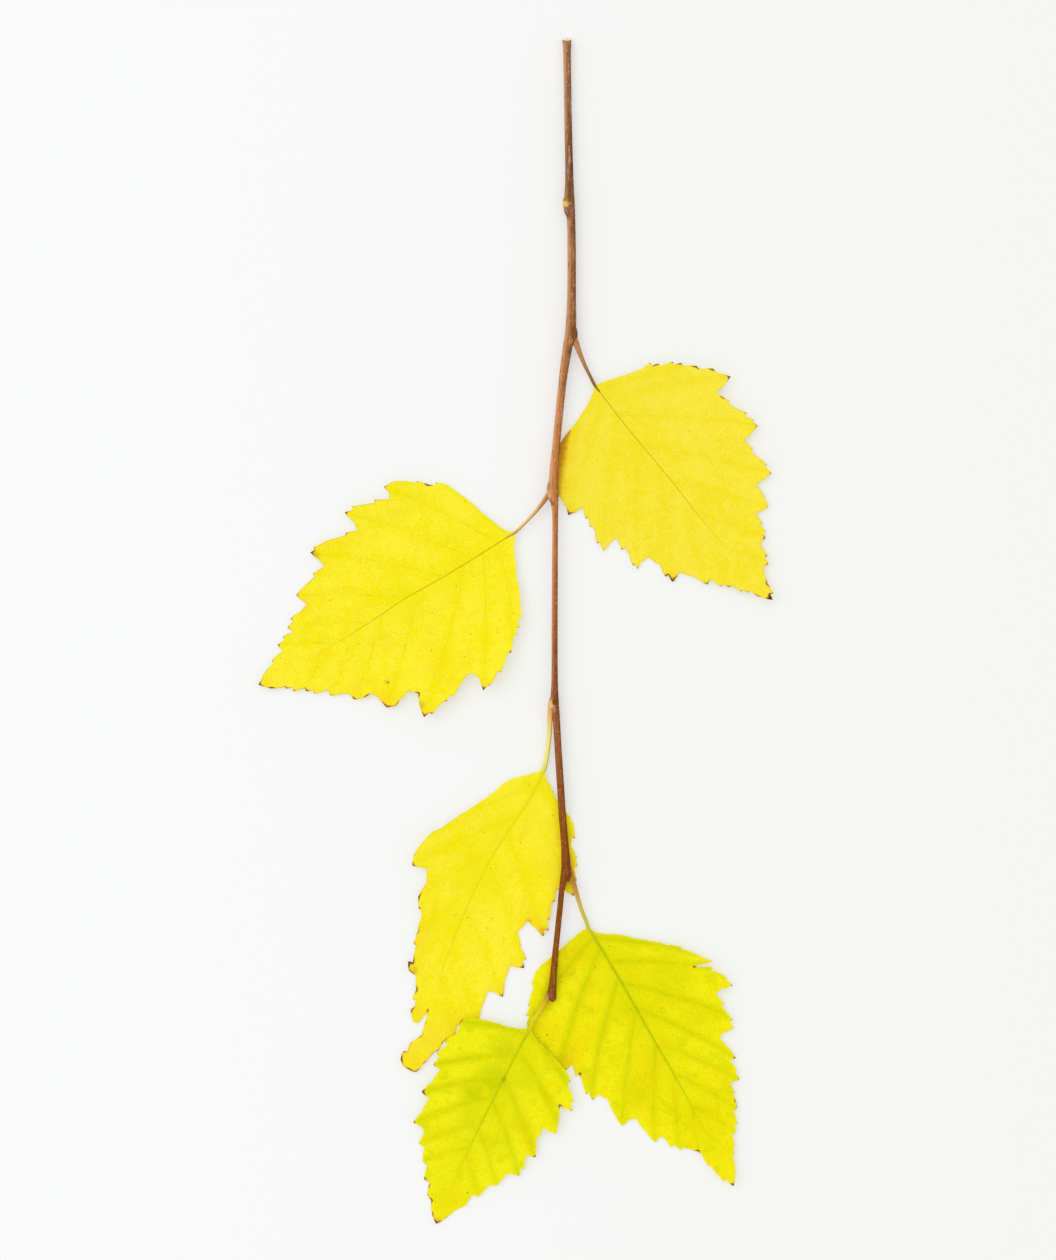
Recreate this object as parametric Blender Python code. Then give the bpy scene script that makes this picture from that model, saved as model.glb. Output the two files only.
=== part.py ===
"""Autumn birch spray lying on a table: one zigzag twig with buds, and five yellow toothed leaves.

Blender metres, +Z up. Y runs along the twig towards its cut end, X across it and Z up from the
table. The origin is the middle of the spray's footprint, on the table. The tables below hold
millimetres.

A leaf has its own flat frame. "Along" runs from the foot of the blade to its tip, and "out" is the
distance from that line, to the left or to the right of a walk towards the tip.
"""

import math

import bmesh
import bpy
from mathutils import Vector
from mathutils.geometry import delaunay_2d_cdt

MM = 0.001
COLLECTION_NAME = "autumn_birch_spray"

# Clearances and thicknesses, in millimetres.
SEAT_GAP = 0.3
BLADE_THICKNESS = 0.6

# The twig: x, y, z and radius along its middle line, from the cut end to the far end.
TWIG_LINE = [
    (12.7, 147.6, 1.35, 1.15),
    (12.75, 143.0, 1.4, 0.97),
    (13.0, 128.0, 1.75, 0.95),
    (13.3, 114.0, 1.95, 1.03),
    (13.35, 107.2, 2.0, 1.3),
    (13.75, 102.5, 2.05, 1.07),
    (13.9, 93.0, 2.1, 1.07),
    (13.85, 83.0, 2.2, 1.13),
    (13.7, 76.0, 2.3, 1.32),
    (13.0, 71.5, 2.35, 1.22),
    (12.0, 65.3, 2.35, 1.08),
    (11.2, 58.3, 2.35, 1.0),
    (10.5, 51.3, 2.35, 0.98),
    (9.85, 44.3, 2.35, 1.03),
    (9.4, 38.0, 2.4, 1.2),
    (9.5, 34.0, 2.4, 1.15),
    (9.75, 28.5, 2.35, 0.76),
    (9.7, 16.0, 2.3, 0.75),
    (9.65, 2.0, 2.25, 0.77),
    (9.65, -12.0, 2.25, 0.82),
    (9.65, -17.8, 2.3, 1.08),
    (10.05, -22.0, 2.3, 0.94),
    (10.45, -28.5, 2.35, 0.88),
    (11.0, -37.0, 2.4, 0.92),
    (11.55, -45.5, 2.45, 0.93),
    (12.1, -53.0, 2.5, 1.02),
    (12.45, -59.0, 2.55, 1.2),
    (12.35, -62.0, 2.55, 1.18),
    (11.6, -65.6, 2.5, 0.79),
    (10.85, -71.5, 2.45, 0.76),
    (10.05, -79.0, 2.45, 0.78),
    (9.45, -85.5, 2.45, 0.87),
    (9.05, -89.5, 2.45, 1.05),
    (9.1, -91.6, 2.45, 0.95),
    (9.2, -92.6, 2.45, 0.55),
]
TWIG_STEP = 2.4

# Buds: the x, y, z of the middle, the way it points from +X in degrees, its length and its width.
BUDS = [
    (12.1, 105.2, 2.3, -100.0, 3.0, 1.25),
    (14.1, 71.6, 2.9, -72.0, 3.2, 1.3),
    (8.5, 32.6, 2.9, -110.0, 3.2, 1.25),
    (9.3, -20.0, 3.1, -96.0, 3.0, 1.2),
    (12.9, -63.3, 3.1, -80.0, 2.8, 1.2),
    (8.3, -91.6, 2.9, -105.0, 2.6, 1.25),
]

# Cushions under the leaf stalks and the fallen leaf's scar: x, y, z, length, width and height.
CUSHIONS = [
    (12.5, 107.0, 2.05, 3.4, 1.9, 1.9),
    (14.5, 74.2, 2.25, 4.2, 2.0, 2.1),
    (8.6, 35.6, 2.35, 4.0, 1.9, 2.0),
    (8.9, -17.2, 2.3, 3.6, 1.8, 1.9),
    (13.1, -60.6, 2.5, 3.8, 1.9, 2.0),
    (8.5, -90.0, 2.45, 3.0, 1.7, 1.8),
]

# Teeth between the lobes.
TOOTH_PITCH = 2.6
TOOTH_HEIGHT = 0.5
TOOTH_LEAN = 0.55

# The sheet of a blade.
HEIGHT_REACH = 26.0
PLEAT_HEIGHT = 0.34
PLEAT_START = 9.0
FILL_SPACING = 4.4
FILL_MARGIN = 1.5
POINT_MERGE = 0.02
VEIN_SLOPE = 1.0
VEIN_BOW = 0.07
VEIN_STEPS = 5
VEIN_SPACING = 5.0

# Leaf stalks: radius at the twig and along the stalk, then how it tapers as the midrib does in
# the blade, as share of that run and radius. The stalk's underside keeps a little off the table.
STALK_FOOT_RADIUS = 0.8
STALK_RADIUS = 0.5
STALK_RUN_IN_BLADE = 11.0
STALK_TAPER = [(0.0, 0.46), (0.35, 0.4), (0.7, 0.32), (1.0, 0.24)]
STALK_CLEARANCE = 0.05
STALK_STEP = 1.6

# Each leaf. "foot" is the blade's foot in x and y, "heading" the way its tip points from +X in
# degrees. "rib" holds along and left of the midrib. A base edge is smooth; each lobe runs from
# the notch before it to the tip where a side vein ends, as along and out. "heights" are those
# of the sheet above the table at the foot, halfway and tip, each right, middle and left.
LEAVES = {
    "leaf_1": {
        "foot": (20.25, 61.75),
        "heading": -51.0,
        "tip": (69.5, 0.0),
        "rib": [(0, -0.7), (12, -1.0), (30, -0.8), (42, -1.0), (56, -0.5), (69.5, 0.0)],
        "left_base": [(1.2, 3.0), (2.8, 7.0), (4.2, 11.0)],
        "left_lobes": [
            [(9.3, 19.2), (15.4, 24.4), (19.7, 26.9)],
            [(20.6, 21.4), (26.5, 22.9), (33.4, 24.5)],
            [(34.2, 19.4), (39.0, 19.4), (44.8, 19.7)],
            [(44.5, 15.0), (48.0, 14.7), (50.8, 13.8)],
            [(50.1, 10.4), (56.4, 8.4)],
            [(56.5, 6.4), (61.9, 4.8)],
            [(61.7, 3.1), (65.5, 1.6)],
        ],
        "right_base": [(1.3, 2.6), (2.9, 6.0), (4.6, 12.0)],
        "right_lobes": [
            [(6.8, 16.8), (11.0, 21.6), (15.8, 25.0), (18.3, 25.2), (21.0, 26.2)],
            [(21.8, 22.2), (28.5, 23.6), (33.4, 25.1)],
            [(32.8, 21.8), (33.1, 20.3), (38.0, 20.5), (42.4, 21.3)],
            [(41.5, 19.6), (41.8, 17.2), (45.2, 16.3), (50.4, 16.4)],
            [(49.5, 13.5), (52.8, 11.4), (56.3, 10.2)],
            [(55.7, 8.7), (60.2, 6.4)],
            [(60.3, 5.6), (64.2, 3.6)],
            [(64.3, 2.9), (66.4, 2.3)],
        ],
        "heights": [(-0.6, 1.0, 2.4), (0.5, -0.7, 2.4), (2.8, 2.2, 3.2)],
        "stalk": [(14.2, 73.6, 2.3), (15.3, 71.2, 2.25), (16.9, 67.6, 2.0), (18.2, 64.6, 1.7)],
    },
    "leaf_2": {
        "foot": (-0.25, 25.0),
        "heading": -148.7,
        "tip": (74.6, -0.4),
        "rib": [(0, 0.3), (10, 0.5), (22, 0.5), (32, 0.2), (42, 0.6), (52, 0.8), (64, 0.4), (74.6, -0.4)],
        "left_base": [(2.2, 3.0), (3.7, 6.2), (5.4, 9.5), (6.7, 13.0), (8.7, 17.0)],
        "left_lobes": [
            [(14.6, 23.2), (18.6, 26.1), (23.3, 28.7), (27.4, 29.9)],
            [(26.7, 27.0), (27.2, 25.2), (29.0, 24.4), (32.2, 26.0), (38.5, 27.5), (43.4, 27.9)],
            [(43.1, 25.4), (41.7, 22.2), (43.2, 20.4), (45.6, 20.9), (48.3, 21.9), (50.3, 20.9)],
            [(50.7, 17.8), (51.8, 16.0), (54.0, 16.0), (56.2, 15.0)],
            [(56.4, 13.6), (57.6, 12.4), (60.7, 11.3)],
            [(60.5, 9.6), (65.4, 7.1)],
            [(65.2, 6.2), (69.2, 4.0)],
            [(69.3, 3.4), (72.3, 2.1)],
        ],
        "right_base": [(2.2, 1.6), (3.5, 4.8), (5.4, 8.5), (6.8, 12.5), (7.9, 16.6)],
        "right_lobes": [
            [(8.3, 18.5), (12.3, 20.9), (16.2, 24.2), (19.0, 26.1), (22.2, 26.4)],
            [(21.9, 24.4), (22.7, 22.8), (28.2, 24.9), (33.9, 26.0)],
            [(33.2, 22.6), (33.3, 20.4), (38.5, 21.5), (42.0, 22.3), (46.5, 21.9)],
            [(45.6, 19.4), (45.2, 17.0), (51.0, 15.8), (55.0, 14.7)],
            [(53.8, 11.2), (56.3, 10.7), (61.1, 8.9)],
            [(60.3, 7.2), (65.4, 6.5)],
            [(65.0, 4.6), (68.6, 3.9)],
            [(68.8, 3.0), (71.0, 2.5)],
        ],
        "heights": [(0.8, 1.3, 4.0), (1.4, -0.8, 2.8), (1.6, 1.2, 2.4)],
        "stalk": [(8.6, 34.8, 2.4), (7.3, 32.8, 2.35), (5.4, 30.4, 2.1), (3.0, 27.8, 1.8)],
    },
    "leaf_3": {
        "foot": (7.0, -36.0),
        "heading": -114.7,
        "tip": (80.9, 0.3),
        "rib": [(0, 0.0), (10, -0.9), (22.7, -2.9), (39, -4.4), (47, -3.7), (55, -2.6), (68, 0.5), (80.9, 0.3)],
        "left_base": [(1.4, 1.6), (3.2, 4.2), (5.6, 8.0), (6.8, 10.4)],
        "left_lobes": [
            [(8.6, 12.1), (13.2, 13.5), (17.1, 17.1)],
            [(17.9, 16.5), (24.3, 19.4)],
            [(23.8, 16.0), (24.6, 14.7), (29.5, 15.4), (36.6, 16.7)],
            [(35.6, 14.0), (34.8, 11.4), (38.5, 10.4), (41.6, 12.8), (45.8, 15.6)],
            [(46.9, 12.1), (51.0, 12.6), (54.7, 13.8)],
            [(54.4, 11.2), (55.0, 9.7), (59.0, 10.1), (62.6, 10.7)],
            [(62.9, 8.4), (64.4, 7.1), (66.3, 6.5), (68.4, 6.9)],
            [(69.6, 5.6), (71.2, 4.9), (73.7, 4.8)],
            [(74.3, 3.9), (77.8, 2.9), (80.8, 2.0)],
        ],
        "right_base": [
            (0.6, 1.2),
            (1.7, 3.0),
            (3.0, 5.5),
            (5.0, 7.8),
            (8.0, 9.1),
            (11.5, 10.9),
            (18.7, 15.4),
            (22.8, 17.9),
        ],
        "right_lobes": [
            [(24.2, 19.2), (28.0, 20.6), (31.5, 21.2), (34.2, 20.5)],
            [(33.3, 16.7), (36.5, 15.4), (40.6, 15.8)],
            [(44.5, 13.1), (48.5, 12.3)],
            [(53.5, 10.9), (56.2, 10.2), (56.4, 11.4)],
            [(58.4, 10.3), (58.8, 8.1), (62.0, 6.6)],
            [(66.0, 5.1), (67.2, 5.8)],
            [(68.2, 5.0), (69.8, 3.8), (69.2, 2.6), (65.4, 1.8), (68.0, 1.1), (71.8, 0.6), (75.2, 2.5)],
            [(77.0, 2.0), (77.2, 3.1), (79.4, 2.9), (80.7, 1.6)],
        ],
        "heights": [(1.4, 0.7, 0.0), (2.8, -0.5, 0.3), (2.2, 0.6, 0.6)],
        "stalk": [(8.6, -17.4, 2.35), (8.3, -20.6, 2.35), (8.5, -25.5, 2.0), (7.9, -31.0, 1.5)],
    },
    "leaf_4": {
        "foot": (19.0, -75.0),
        "heading": -60.9,
        "tip": (72.6, 0.0),
        "rib": [(-1.0, -0.4), (5, -0.1), (15, 0.2), (30, 0.3), (45, 0.5), (60, 0.3), (72.6, 0.0)],
        "left_base": [(0.8, 0.9), (2.2, 2.6), (4.0, 5.5), (6.5, 8.3), (9.0, 11.5), (12.0, 14.8)],
        "left_lobes": [
            [(16.5, 19.2), (18.8, 20.8), (21.1, 22.7)],
            [(20.2, 19.5), (19.8, 17.5), (20.8, 19.2), (23.8, 22.3), (28.7, 24.1)],
            [(28.2, 21.0), (28.6, 19.2), (33.5, 19.3), (38.2, 19.2)],
            [(38.0, 15.6), (39.4, 14.9), (43.0, 15.8), (45.1, 16.0)],
            [(44.7, 14.4), (50.1, 14.2)],
            [(49.8, 11.5), (54.0, 10.9), (56.1, 10.2)],
            [(56.3, 9.0), (61.3, 7.0)],
            [(61.4, 5.7), (65.7, 4.1)],
            [(65.9, 3.5), (69.4, 2.2)],
        ],
        "right_base": [(-1.4, 1.0), (-1.2, 3.0), (-0.4, 7.0), (0.5, 11.0), (1.0, 14.0)],
        "right_lobes": [
            [(1.9, 17.0), (6.2, 20.6), (12.5, 25.5), (19.5, 27.8)],
            [(20.3, 24.6), (24.0, 23.6), (27.1, 22.8)],
            [(26.8, 20.5), (31.0, 20.2), (36.9, 20.5)],
            [(36.5, 18.4), (38.6, 17.0), (42.0, 17.3), (46.1, 17.1)],
            [(45.7, 14.5), (46.3, 13.1), (50.0, 12.7), (53.8, 11.9)],
            [(53.2, 10.2), (53.7, 9.3), (58.6, 7.3)],
            [(58.3, 6.2), (60.9, 3.6)],
            [(62.0, 3.1), (67.6, 2.3)],
        ],
        "heights": [(-0.3, 0.8, 2.2), (0.2, -0.7, 2.4), (1.8, 1.8, 3.0)],
        "stalk": [(13.6, -61.4, 2.5), (15.0, -65.2, 2.35), (16.1, -69.0, 1.95), (17.3, -72.4, 1.5)],
    },
    "leaf_5": {
        "foot": (3.0, -98.25),
        "heading": -114.9,
        "tip": (54.9, 0.2),
        "rib": [(0, 0.9), (6, 0.5), (15, 0.2), (28, -0.2), (40, -0.2), (54.9, 0.2)],
        "left_base": [(1.2, 1.6), (2.8, 4.5), (4.5, 9.0), (6.4, 13.4)],
        "left_lobes": [
            [(10.0, 15.9), (14.7, 19.0)],
            [(14.9, 15.6), (18.0, 16.8), (21.7, 17.8)],
            [(21.7, 14.2), (25.5, 14.0), (29.1, 15.6)],
            [(29.8, 13.2), (35.2, 13.8)],
            [(35.6, 11.6), (36.6, 10.6), (39.7, 9.9)],
            [(40.6, 7.9), (44.2, 7.0)],
            [(44.5, 5.1), (47.5, 5.0), (49.3, 3.6)],
            [(50.2, 2.9), (52.4, 1.8)],
        ],
        "right_base": [(1.6, 1.2), (2.4, 4.0), (2.8, 7.0), (3.4, 10.5), (4.2, 13.5)],
        "right_lobes": [
            [(6.0, 15.5)],
            [(9.4, 15.1), (12.2, 17.3)],
            [(12.9, 16.1), (18.9, 17.3)],
            [(19.3, 15.1), (22.8, 15.7), (26.4, 17.0)],
            [(27.0, 14.6), (31.0, 14.9), (34.2, 15.6)],
            [(34.4, 13.2), (35.3, 12.1), (38.5, 12.3)],
            [(38.7, 10.6), (42.2, 9.4)],
            [(42.5, 8.0), (46.1, 7.2)],
            [(46.2, 5.5), (49.3, 4.9)],
            [(50.0, 3.5), (52.6, 2.2)],
        ],
        "heights": [(2.3, 2.0, 2.6), (2.1, 0.6, 2.9), (0.2, -0.3, 1.2)],
        "stalk": [(8.3, -90.4, 2.45), (7.2, -92.9, 2.5), (5.6, -95.6, 2.5), (4.3, -97.3, 2.45)],
    },
}

# Colour, roughness and metallic value of each material, read off the photograph.
MATERIALS = {
    "bark": ((0.30, 0.115, 0.05, 1.0), 0.55, 0.0),
    "yellow_leaf": ((0.90, 0.74, 0.03, 1.0), 0.6, 0.0),
    "green_yellow_leaf": ((0.74, 0.76, 0.02, 1.0), 0.6, 0.0),
}
NODE_MATERIAL = {
    "twig": "bark",
    "leaf_1": "yellow_leaf",
    "leaf_2": "yellow_leaf",
    "leaf_3": "yellow_leaf",
    "leaf_4": "green_yellow_leaf",
    "leaf_5": "green_yellow_leaf",
}


# Scene

def clear_scene():
    for obj in list(bpy.data.objects):
        bpy.data.objects.remove(obj, do_unlink=True)


def new_collection(name):
    made = bpy.data.collections.new(name)
    bpy.context.scene.collection.children.link(made)
    return made


def make_material(name):
    colour, roughness, metallic = MATERIALS[name]
    material = bpy.data.materials.new(name)
    material.use_nodes = True
    shader = material.node_tree.nodes["Principled BSDF"]
    shader.inputs["Base Color"].default_value = colour
    shader.inputs["Roughness"].default_value = roughness
    shader.inputs["Metallic"].default_value = metallic
    return material


def join_all(body, others):
    """Unites body with the other objects by one Boolean, applies it and removes the others."""
    operands = new_collection("operands")
    for other in others:
        operands.objects.link(other)
    apply_boolean(body, operands, "UNION")
    for other in others:
        bpy.data.objects.remove(other, do_unlink=True)
    bpy.data.collections.remove(operands)


def apply_boolean(body, operands, operation):
    boolean = body.modifiers.new("boolean", "BOOLEAN")
    boolean.operation = operation
    boolean.operand_type = "COLLECTION"
    boolean.collection = operands
    boolean.solver = "EXACT"
    bpy.context.view_layer.update()
    evaluated = body.evaluated_get(bpy.context.evaluated_depsgraph_get())
    body.data = bpy.data.meshes.new_from_object(evaluated)
    body.modifiers.clear()


# Curves through points

def smooth_line(points, steps):
    """A Catmull-Rom line through points of any dimension, with that many steps a span."""
    ends = [points[0]] + list(points) + [points[-1]]
    line = []
    for before, start, end, after in zip(ends, ends[1:], ends[2:], ends[3:]):
        for step in range(steps):
            t = step / steps
            line.append(
                tuple(
                    0.5 * (2 * p1 + (p2 - p0) * t + (2 * p0 - 5 * p1 + 4 * p2 - p3) * t**2
                           + (3 * p1 - p0 - 3 * p2 + p3) * t**3)
                    for p0, p1, p2, p3 in zip(before, start, end, after)
                )
            )
    line.append(tuple(points[-1]))
    return line


def spaced_line(points, spacing):
    """The smooth line through (x, y, z, radius) points, thinned to about that spacing."""
    fine = smooth_line(points, 8)
    kept = [fine[0]]
    for point in fine[1:-1]:
        if math.dist(point[:3], kept[-1][:3]) >= spacing:
            kept.append(point)
    if math.dist(fine[-1][:3], kept[-1][:3]) < 0.5 * spacing:
        kept.pop()
    kept.append(fine[-1])
    return kept


def tube(name, line, collection, sides_resolution=2):
    """A closed mesh tube along (x, y, z, radius) points in millimetres."""
    curve = bpy.data.curves.new(name, "CURVE")
    curve.dimensions = "3D"
    curve.bevel_depth = MM
    curve.bevel_resolution = sides_resolution
    curve.use_fill_caps = True
    spline = curve.splines.new("POLY")
    spline.points.add(len(line) - 1)
    for point, (x, y, z, radius) in zip(spline.points, line):
        point.co = (x * MM, y * MM, z * MM, 1.0)
        point.radius = radius
    drawn = bpy.data.objects.new(name + "_curve", curve)
    collection.objects.link(drawn)
    bpy.context.view_layer.update()
    evaluated = drawn.evaluated_get(bpy.context.evaluated_depsgraph_get())
    mesh = bpy.data.meshes.new_from_object(evaluated)
    bpy.data.objects.remove(drawn, do_unlink=True)
    weld = bmesh.new()
    weld.from_mesh(mesh)
    bmesh.ops.remove_doubles(weld, verts=weld.verts, dist=0.01 * MM)
    bmesh.ops.recalc_face_normals(weld, faces=weld.faces)
    weld.to_mesh(mesh)
    weld.free()
    made = bpy.data.objects.new(name, mesh)
    collection.objects.link(made)
    return made


# The twig

def ellipsoid(name, centre, size, turn, collection, segments=10, rings=6):
    """An ellipsoid of that full size, turned about +Z, with its mesh in world space."""
    work = bmesh.new()
    bmesh.ops.create_uvsphere(work, u_segments=segments, v_segments=rings, radius=0.5)
    cos_turn = math.cos(turn)
    sin_turn = math.sin(turn)
    for vertex in work.verts:
        x = vertex.co.z * size[0]
        y = vertex.co.x * size[1]
        z = vertex.co.y * size[2]
        vertex.co = Vector(
            (centre[0] + cos_turn * x - sin_turn * y, centre[1] + sin_turn * x + cos_turn * y, centre[2] + z)
        ) * MM
    bmesh.ops.recalc_face_normals(work, faces=work.faces)
    mesh = bpy.data.meshes.new(name)
    work.to_mesh(mesh)
    work.free()
    made = bpy.data.objects.new(name, mesh)
    collection.objects.link(made)
    return made


def build_twig(name, collection, swell=0.0):
    """The twig with its cushions and buds as one body, swell millimetres larger all round."""
    line = [(x, y, z, r + swell) for x, y, z, r in spaced_line(TWIG_LINE, TWIG_STEP)]
    twig = tube(name, line, collection)
    grown = []
    for x, y, z, length, width, height in CUSHIONS:
        size = (length + 2 * swell, width + 2 * swell, height + 2 * swell)
        grown.append(ellipsoid("cushion", (x, y, z), size, -0.5 * math.pi, collection))
    for x, y, z, heading, length, width in BUDS:
        size = (length + 2 * swell, width + 2 * swell, 0.85 * width + 2 * swell)
        grown.append(ellipsoid("bud", (x, y, z), size, math.radians(heading), collection))
    join_all(twig, grown)
    return twig


# The outline of a blade

def serrated(line, side):
    """The line of a lobe with small forward-pointing teeth on its stretches that run to the tip."""
    toothed = [line[0]]
    for start, end in zip(line, line[1:]):
        run = Vector(end) - Vector(start)
        teeth = int(run.length / TOOTH_PITCH)
        if run.x > 0.35 * run.length and teeth > 1:
            ahead = run.normalized()
            outward = Vector((-ahead.y, ahead.x)) * side
            for tooth in range(1, teeth):
                foot = Vector(start) + run * (tooth / teeth)
                point = foot + outward * TOOTH_HEIGHT + ahead * TOOTH_LEAN
                notch = foot - outward * 0.1 * TOOTH_HEIGHT + ahead * (TOOTH_LEAN + 0.15)
                toothed += [tuple(point), tuple(notch)]
        toothed.append(end)
    return toothed


def half_margin(leaf, name, side):
    """One side's edge from the foot to the tip, as (along, left) points."""
    foot = leaf["rib"][0]
    base = [foot] + [(along, side * out) for along, out in leaf[name + "_base"]]
    edge = smooth_line(base, 3)
    last = edge[-1]
    for lobe in leaf[name + "_lobes"]:
        line = [last] + [(along, side * out) for along, out in lobe]
        edge += serrated(line, side)[1:]
        last = edge[-1]
    return edge + serrated([last, leaf["tip"]], side)[1:-1]


def outline(leaf):
    left = half_margin(leaf, "left", 1)
    right = half_margin(leaf, "right", -1)
    return left + [leaf["tip"]] + right[:0:-1]


# Veins

def along_line(line, value):
    """The second coordinate of a line at that value of the first, which rises along it."""
    for (a0, b0), (a1, b1) in zip(line, line[1:]):
        if value <= a1:
            return b0 + (b1 - b0) * (value - a0) / (a1 - a0)
    return line[-1][1]


def midrib(leaf):
    return smooth_line(leaf["rib"], 3)


def side_veins(leaf):
    """Each side vein as (along, left) points, from the midrib to the tip of its lobe."""
    rib = midrib(leaf)
    veins = []
    for name, side in (("left", 1), ("right", -1)):
        last = None
        for lobe in leaf[name + "_lobes"]:
            end = Vector((lobe[-1][0], side * lobe[-1][1]))
            if last is not None and (end - last).length < VEIN_SPACING:
                continue
            rise = along_line(rib, end.x)
            start_along = max(end.x - VEIN_SLOPE * abs(end.y - rise), 0.04 * end.x + 1.5)
            start = Vector((start_along, along_line(rib, start_along)))
            run = end - start
            bow = Vector((-run.y, run.x)) * side * VEIN_BOW
            veins.append([start + run * t + bow * 4 * t * (1 - t) for t in vein_shares()])
            last = end
    return veins


def vein_shares():
    return [step / VEIN_STEPS for step in range(VEIN_STEPS + 1)]


def distance_to_line(point, line):
    """Distance from a point to a line of points, all in the leaf's frame."""
    nearest = math.inf
    for start, end in zip(line, line[1:]):
        run = Vector(end) - Vector(start)
        t = (point - Vector(start)).dot(run) / max(run.length_squared, 1e-9)
        nearest = min(nearest, (point - Vector(start) - run * min(max(t, 0.0), 1.0)).length)
    return nearest


# The sheet of a blade

def smoothstep(value):
    t = min(max(value, 0.0), 1.0)
    return t * t * (3 - 2 * t)


def through_three(low, middle, high, t):
    """The parabola through three values at t = 0, 0.5 and 1."""
    return 2 * (t - 0.5) * (t - 1) * low + 4 * t * (1 - t) * middle + 2 * t * (t - 0.5) * high


def sheet_height(leaf, along, left):
    """Height of the free sheet over the table, below zero where the table presses it flat."""
    t = along / leaf["tip"][0]
    across = 0.5 + 0.5 * left / HEIGHT_REACH
    foot, middle, tip = (through_three(*row, across) for row in leaf["heights"])
    return through_three(foot, middle, tip, t)


def pleat(rib, veins, point):
    """How far the sheet bulges up at a point between two side veins."""
    side = 1 if point.y >= along_line(rib, point.x) else -1
    near = sorted(distance_to_line(point, vein) for vein in veins if vein[-1].y * side > 0)
    share = near[0] / max(near[0] + near[1], 1e-6)
    from_rib = distance_to_line(point, rib)
    return PLEAT_HEIGHT * 4 * share * (1 - share) * smoothstep(from_rib / PLEAT_START)


def inside(point, loop):
    crossings = False
    for (x0, y0), (x1, y1) in zip(loop, loop[1:] + loop[:1]):
        if (y0 > point.y) != (y1 > point.y) and point.x < (x1 - x0) * (point.y - y0) / (y1 - y0) + x0:
            crossings = not crossings
    return crossings


def fill_points(loop, lines):
    """A staggered grid of points inside the loop, clear of its edge and of the lines."""
    closed = loop + loop[:1]
    lowest = min(p[1] for p in loop)
    rows = int((max(p[1] for p in loop) - lowest) / (0.866 * FILL_SPACING)) + 1
    columns = int(max(p[0] for p in loop) / FILL_SPACING) + 2
    points = []
    for row in range(rows):
        for column in range(columns):
            along = (column + 0.5 * (row % 2) - 0.5) * FILL_SPACING
            point = Vector((along, lowest + row * 0.866 * FILL_SPACING))
            if not inside(point, loop) or distance_to_line(point, closed) < FILL_MARGIN:
                continue
            if min(distance_to_line(point, line) for line in lines) >= FILL_MARGIN:
                points.append(point)
    return points


def blade_pattern(leaf):
    """The flat blade as points and triangles, with edges along the midrib and the side veins."""
    loop = outline(leaf)
    rib = midrib(leaf)
    veins = side_veins(leaf)
    points = [Vector(p) for p in loop]
    edges = []
    for line in [rib[1:-1]] + [vein[:-1] for vein in veins]:
        first = len(points)
        points += [Vector(p) for p in line]
        edges += [(i, i + 1) for i in range(first, len(points) - 1)]
    points += fill_points(loop, [rib] + veins)
    made = delaunay_2d_cdt(points, edges, [list(range(len(loop)))], 1, POINT_MERGE)
    return made[0], made[2], rib, veins


def to_table(leaf, along, left):
    """World x and y, in millimetres, of a point of the leaf's frame."""
    heading = math.radians(leaf["heading"])
    cos_heading = math.cos(heading)
    sin_heading = math.sin(heading)
    x, y = leaf["foot"]
    return x + along * cos_heading - left * sin_heading, y + along * sin_heading + left * cos_heading


def build_blade(name, leaf, collection):
    """The toothed, pleated blade, split alike on both faces."""
    points, triangles, rib, veins = blade_pattern(leaf)
    work = bmesh.new()
    flat = [work.verts.new((p.x, p.y, 0.0)) for p in points]
    for triangle in triangles:
        work.faces.new([flat[i] for i in triangle])
    lower = list(work.faces)
    made = bmesh.ops.extrude_face_region(work, geom=lower, use_keep_orig=True)
    upper = {g for g in made["geom"] if isinstance(g, bmesh.types.BMVert)}
    for vertex in work.verts:
        point = vertex.co.to_2d()
        height = sheet_height(leaf, point.x, point.y)
        bulge = pleat(rib, veins, point)
        if vertex in upper:
            z = max(height, 0.0) + bulge + BLADE_THICKNESS
        else:
            z = max(height + bulge, 0.0)
        x, y = to_table(leaf, point.x, point.y)
        vertex.co = Vector((x, y, z)) * MM
    bmesh.ops.recalc_face_normals(work, faces=work.faces)
    mesh = bpy.data.meshes.new(name)
    work.to_mesh(mesh)
    work.free()
    made = bpy.data.objects.new(name, mesh)
    collection.objects.link(made)
    return made


# Leaves

def stalk_line(leaf):
    """The stalk's middle line with its radius, from the twig into the foot of the blade."""
    line = [(x, y, z, STALK_RADIUS) for x, y, z in leaf["stalk"]]
    line[0] = leaf["stalk"][0] + (STALK_FOOT_RADIUS,)
    rib = midrib(leaf)
    start = leaf["rib"][0][0]
    for share, radius in STALK_TAPER:
        along = start + share * STALK_RUN_IN_BLADE
        left = along_line(rib, along)
        height = max(sheet_height(leaf, along, left), 0.0)
        middle = max(height + 0.5 * BLADE_THICKNESS, radius + STALK_CLEARANCE)
        line.append(to_table(leaf, along, left) + (middle, radius))
    return spaced_line(line, STALK_STEP)


def build_leaf(name, leaf, clearance, collection):
    """A blade with its stalk as one body, clear of the twig by the seat gap."""
    stalk = tube(name + "_stalk", stalk_line(leaf), collection, 1)
    apply_boolean(stalk, clearance, "DIFFERENCE")
    blade = build_blade(name, leaf, collection)
    join_all(blade, [stalk])
    return blade


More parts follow.
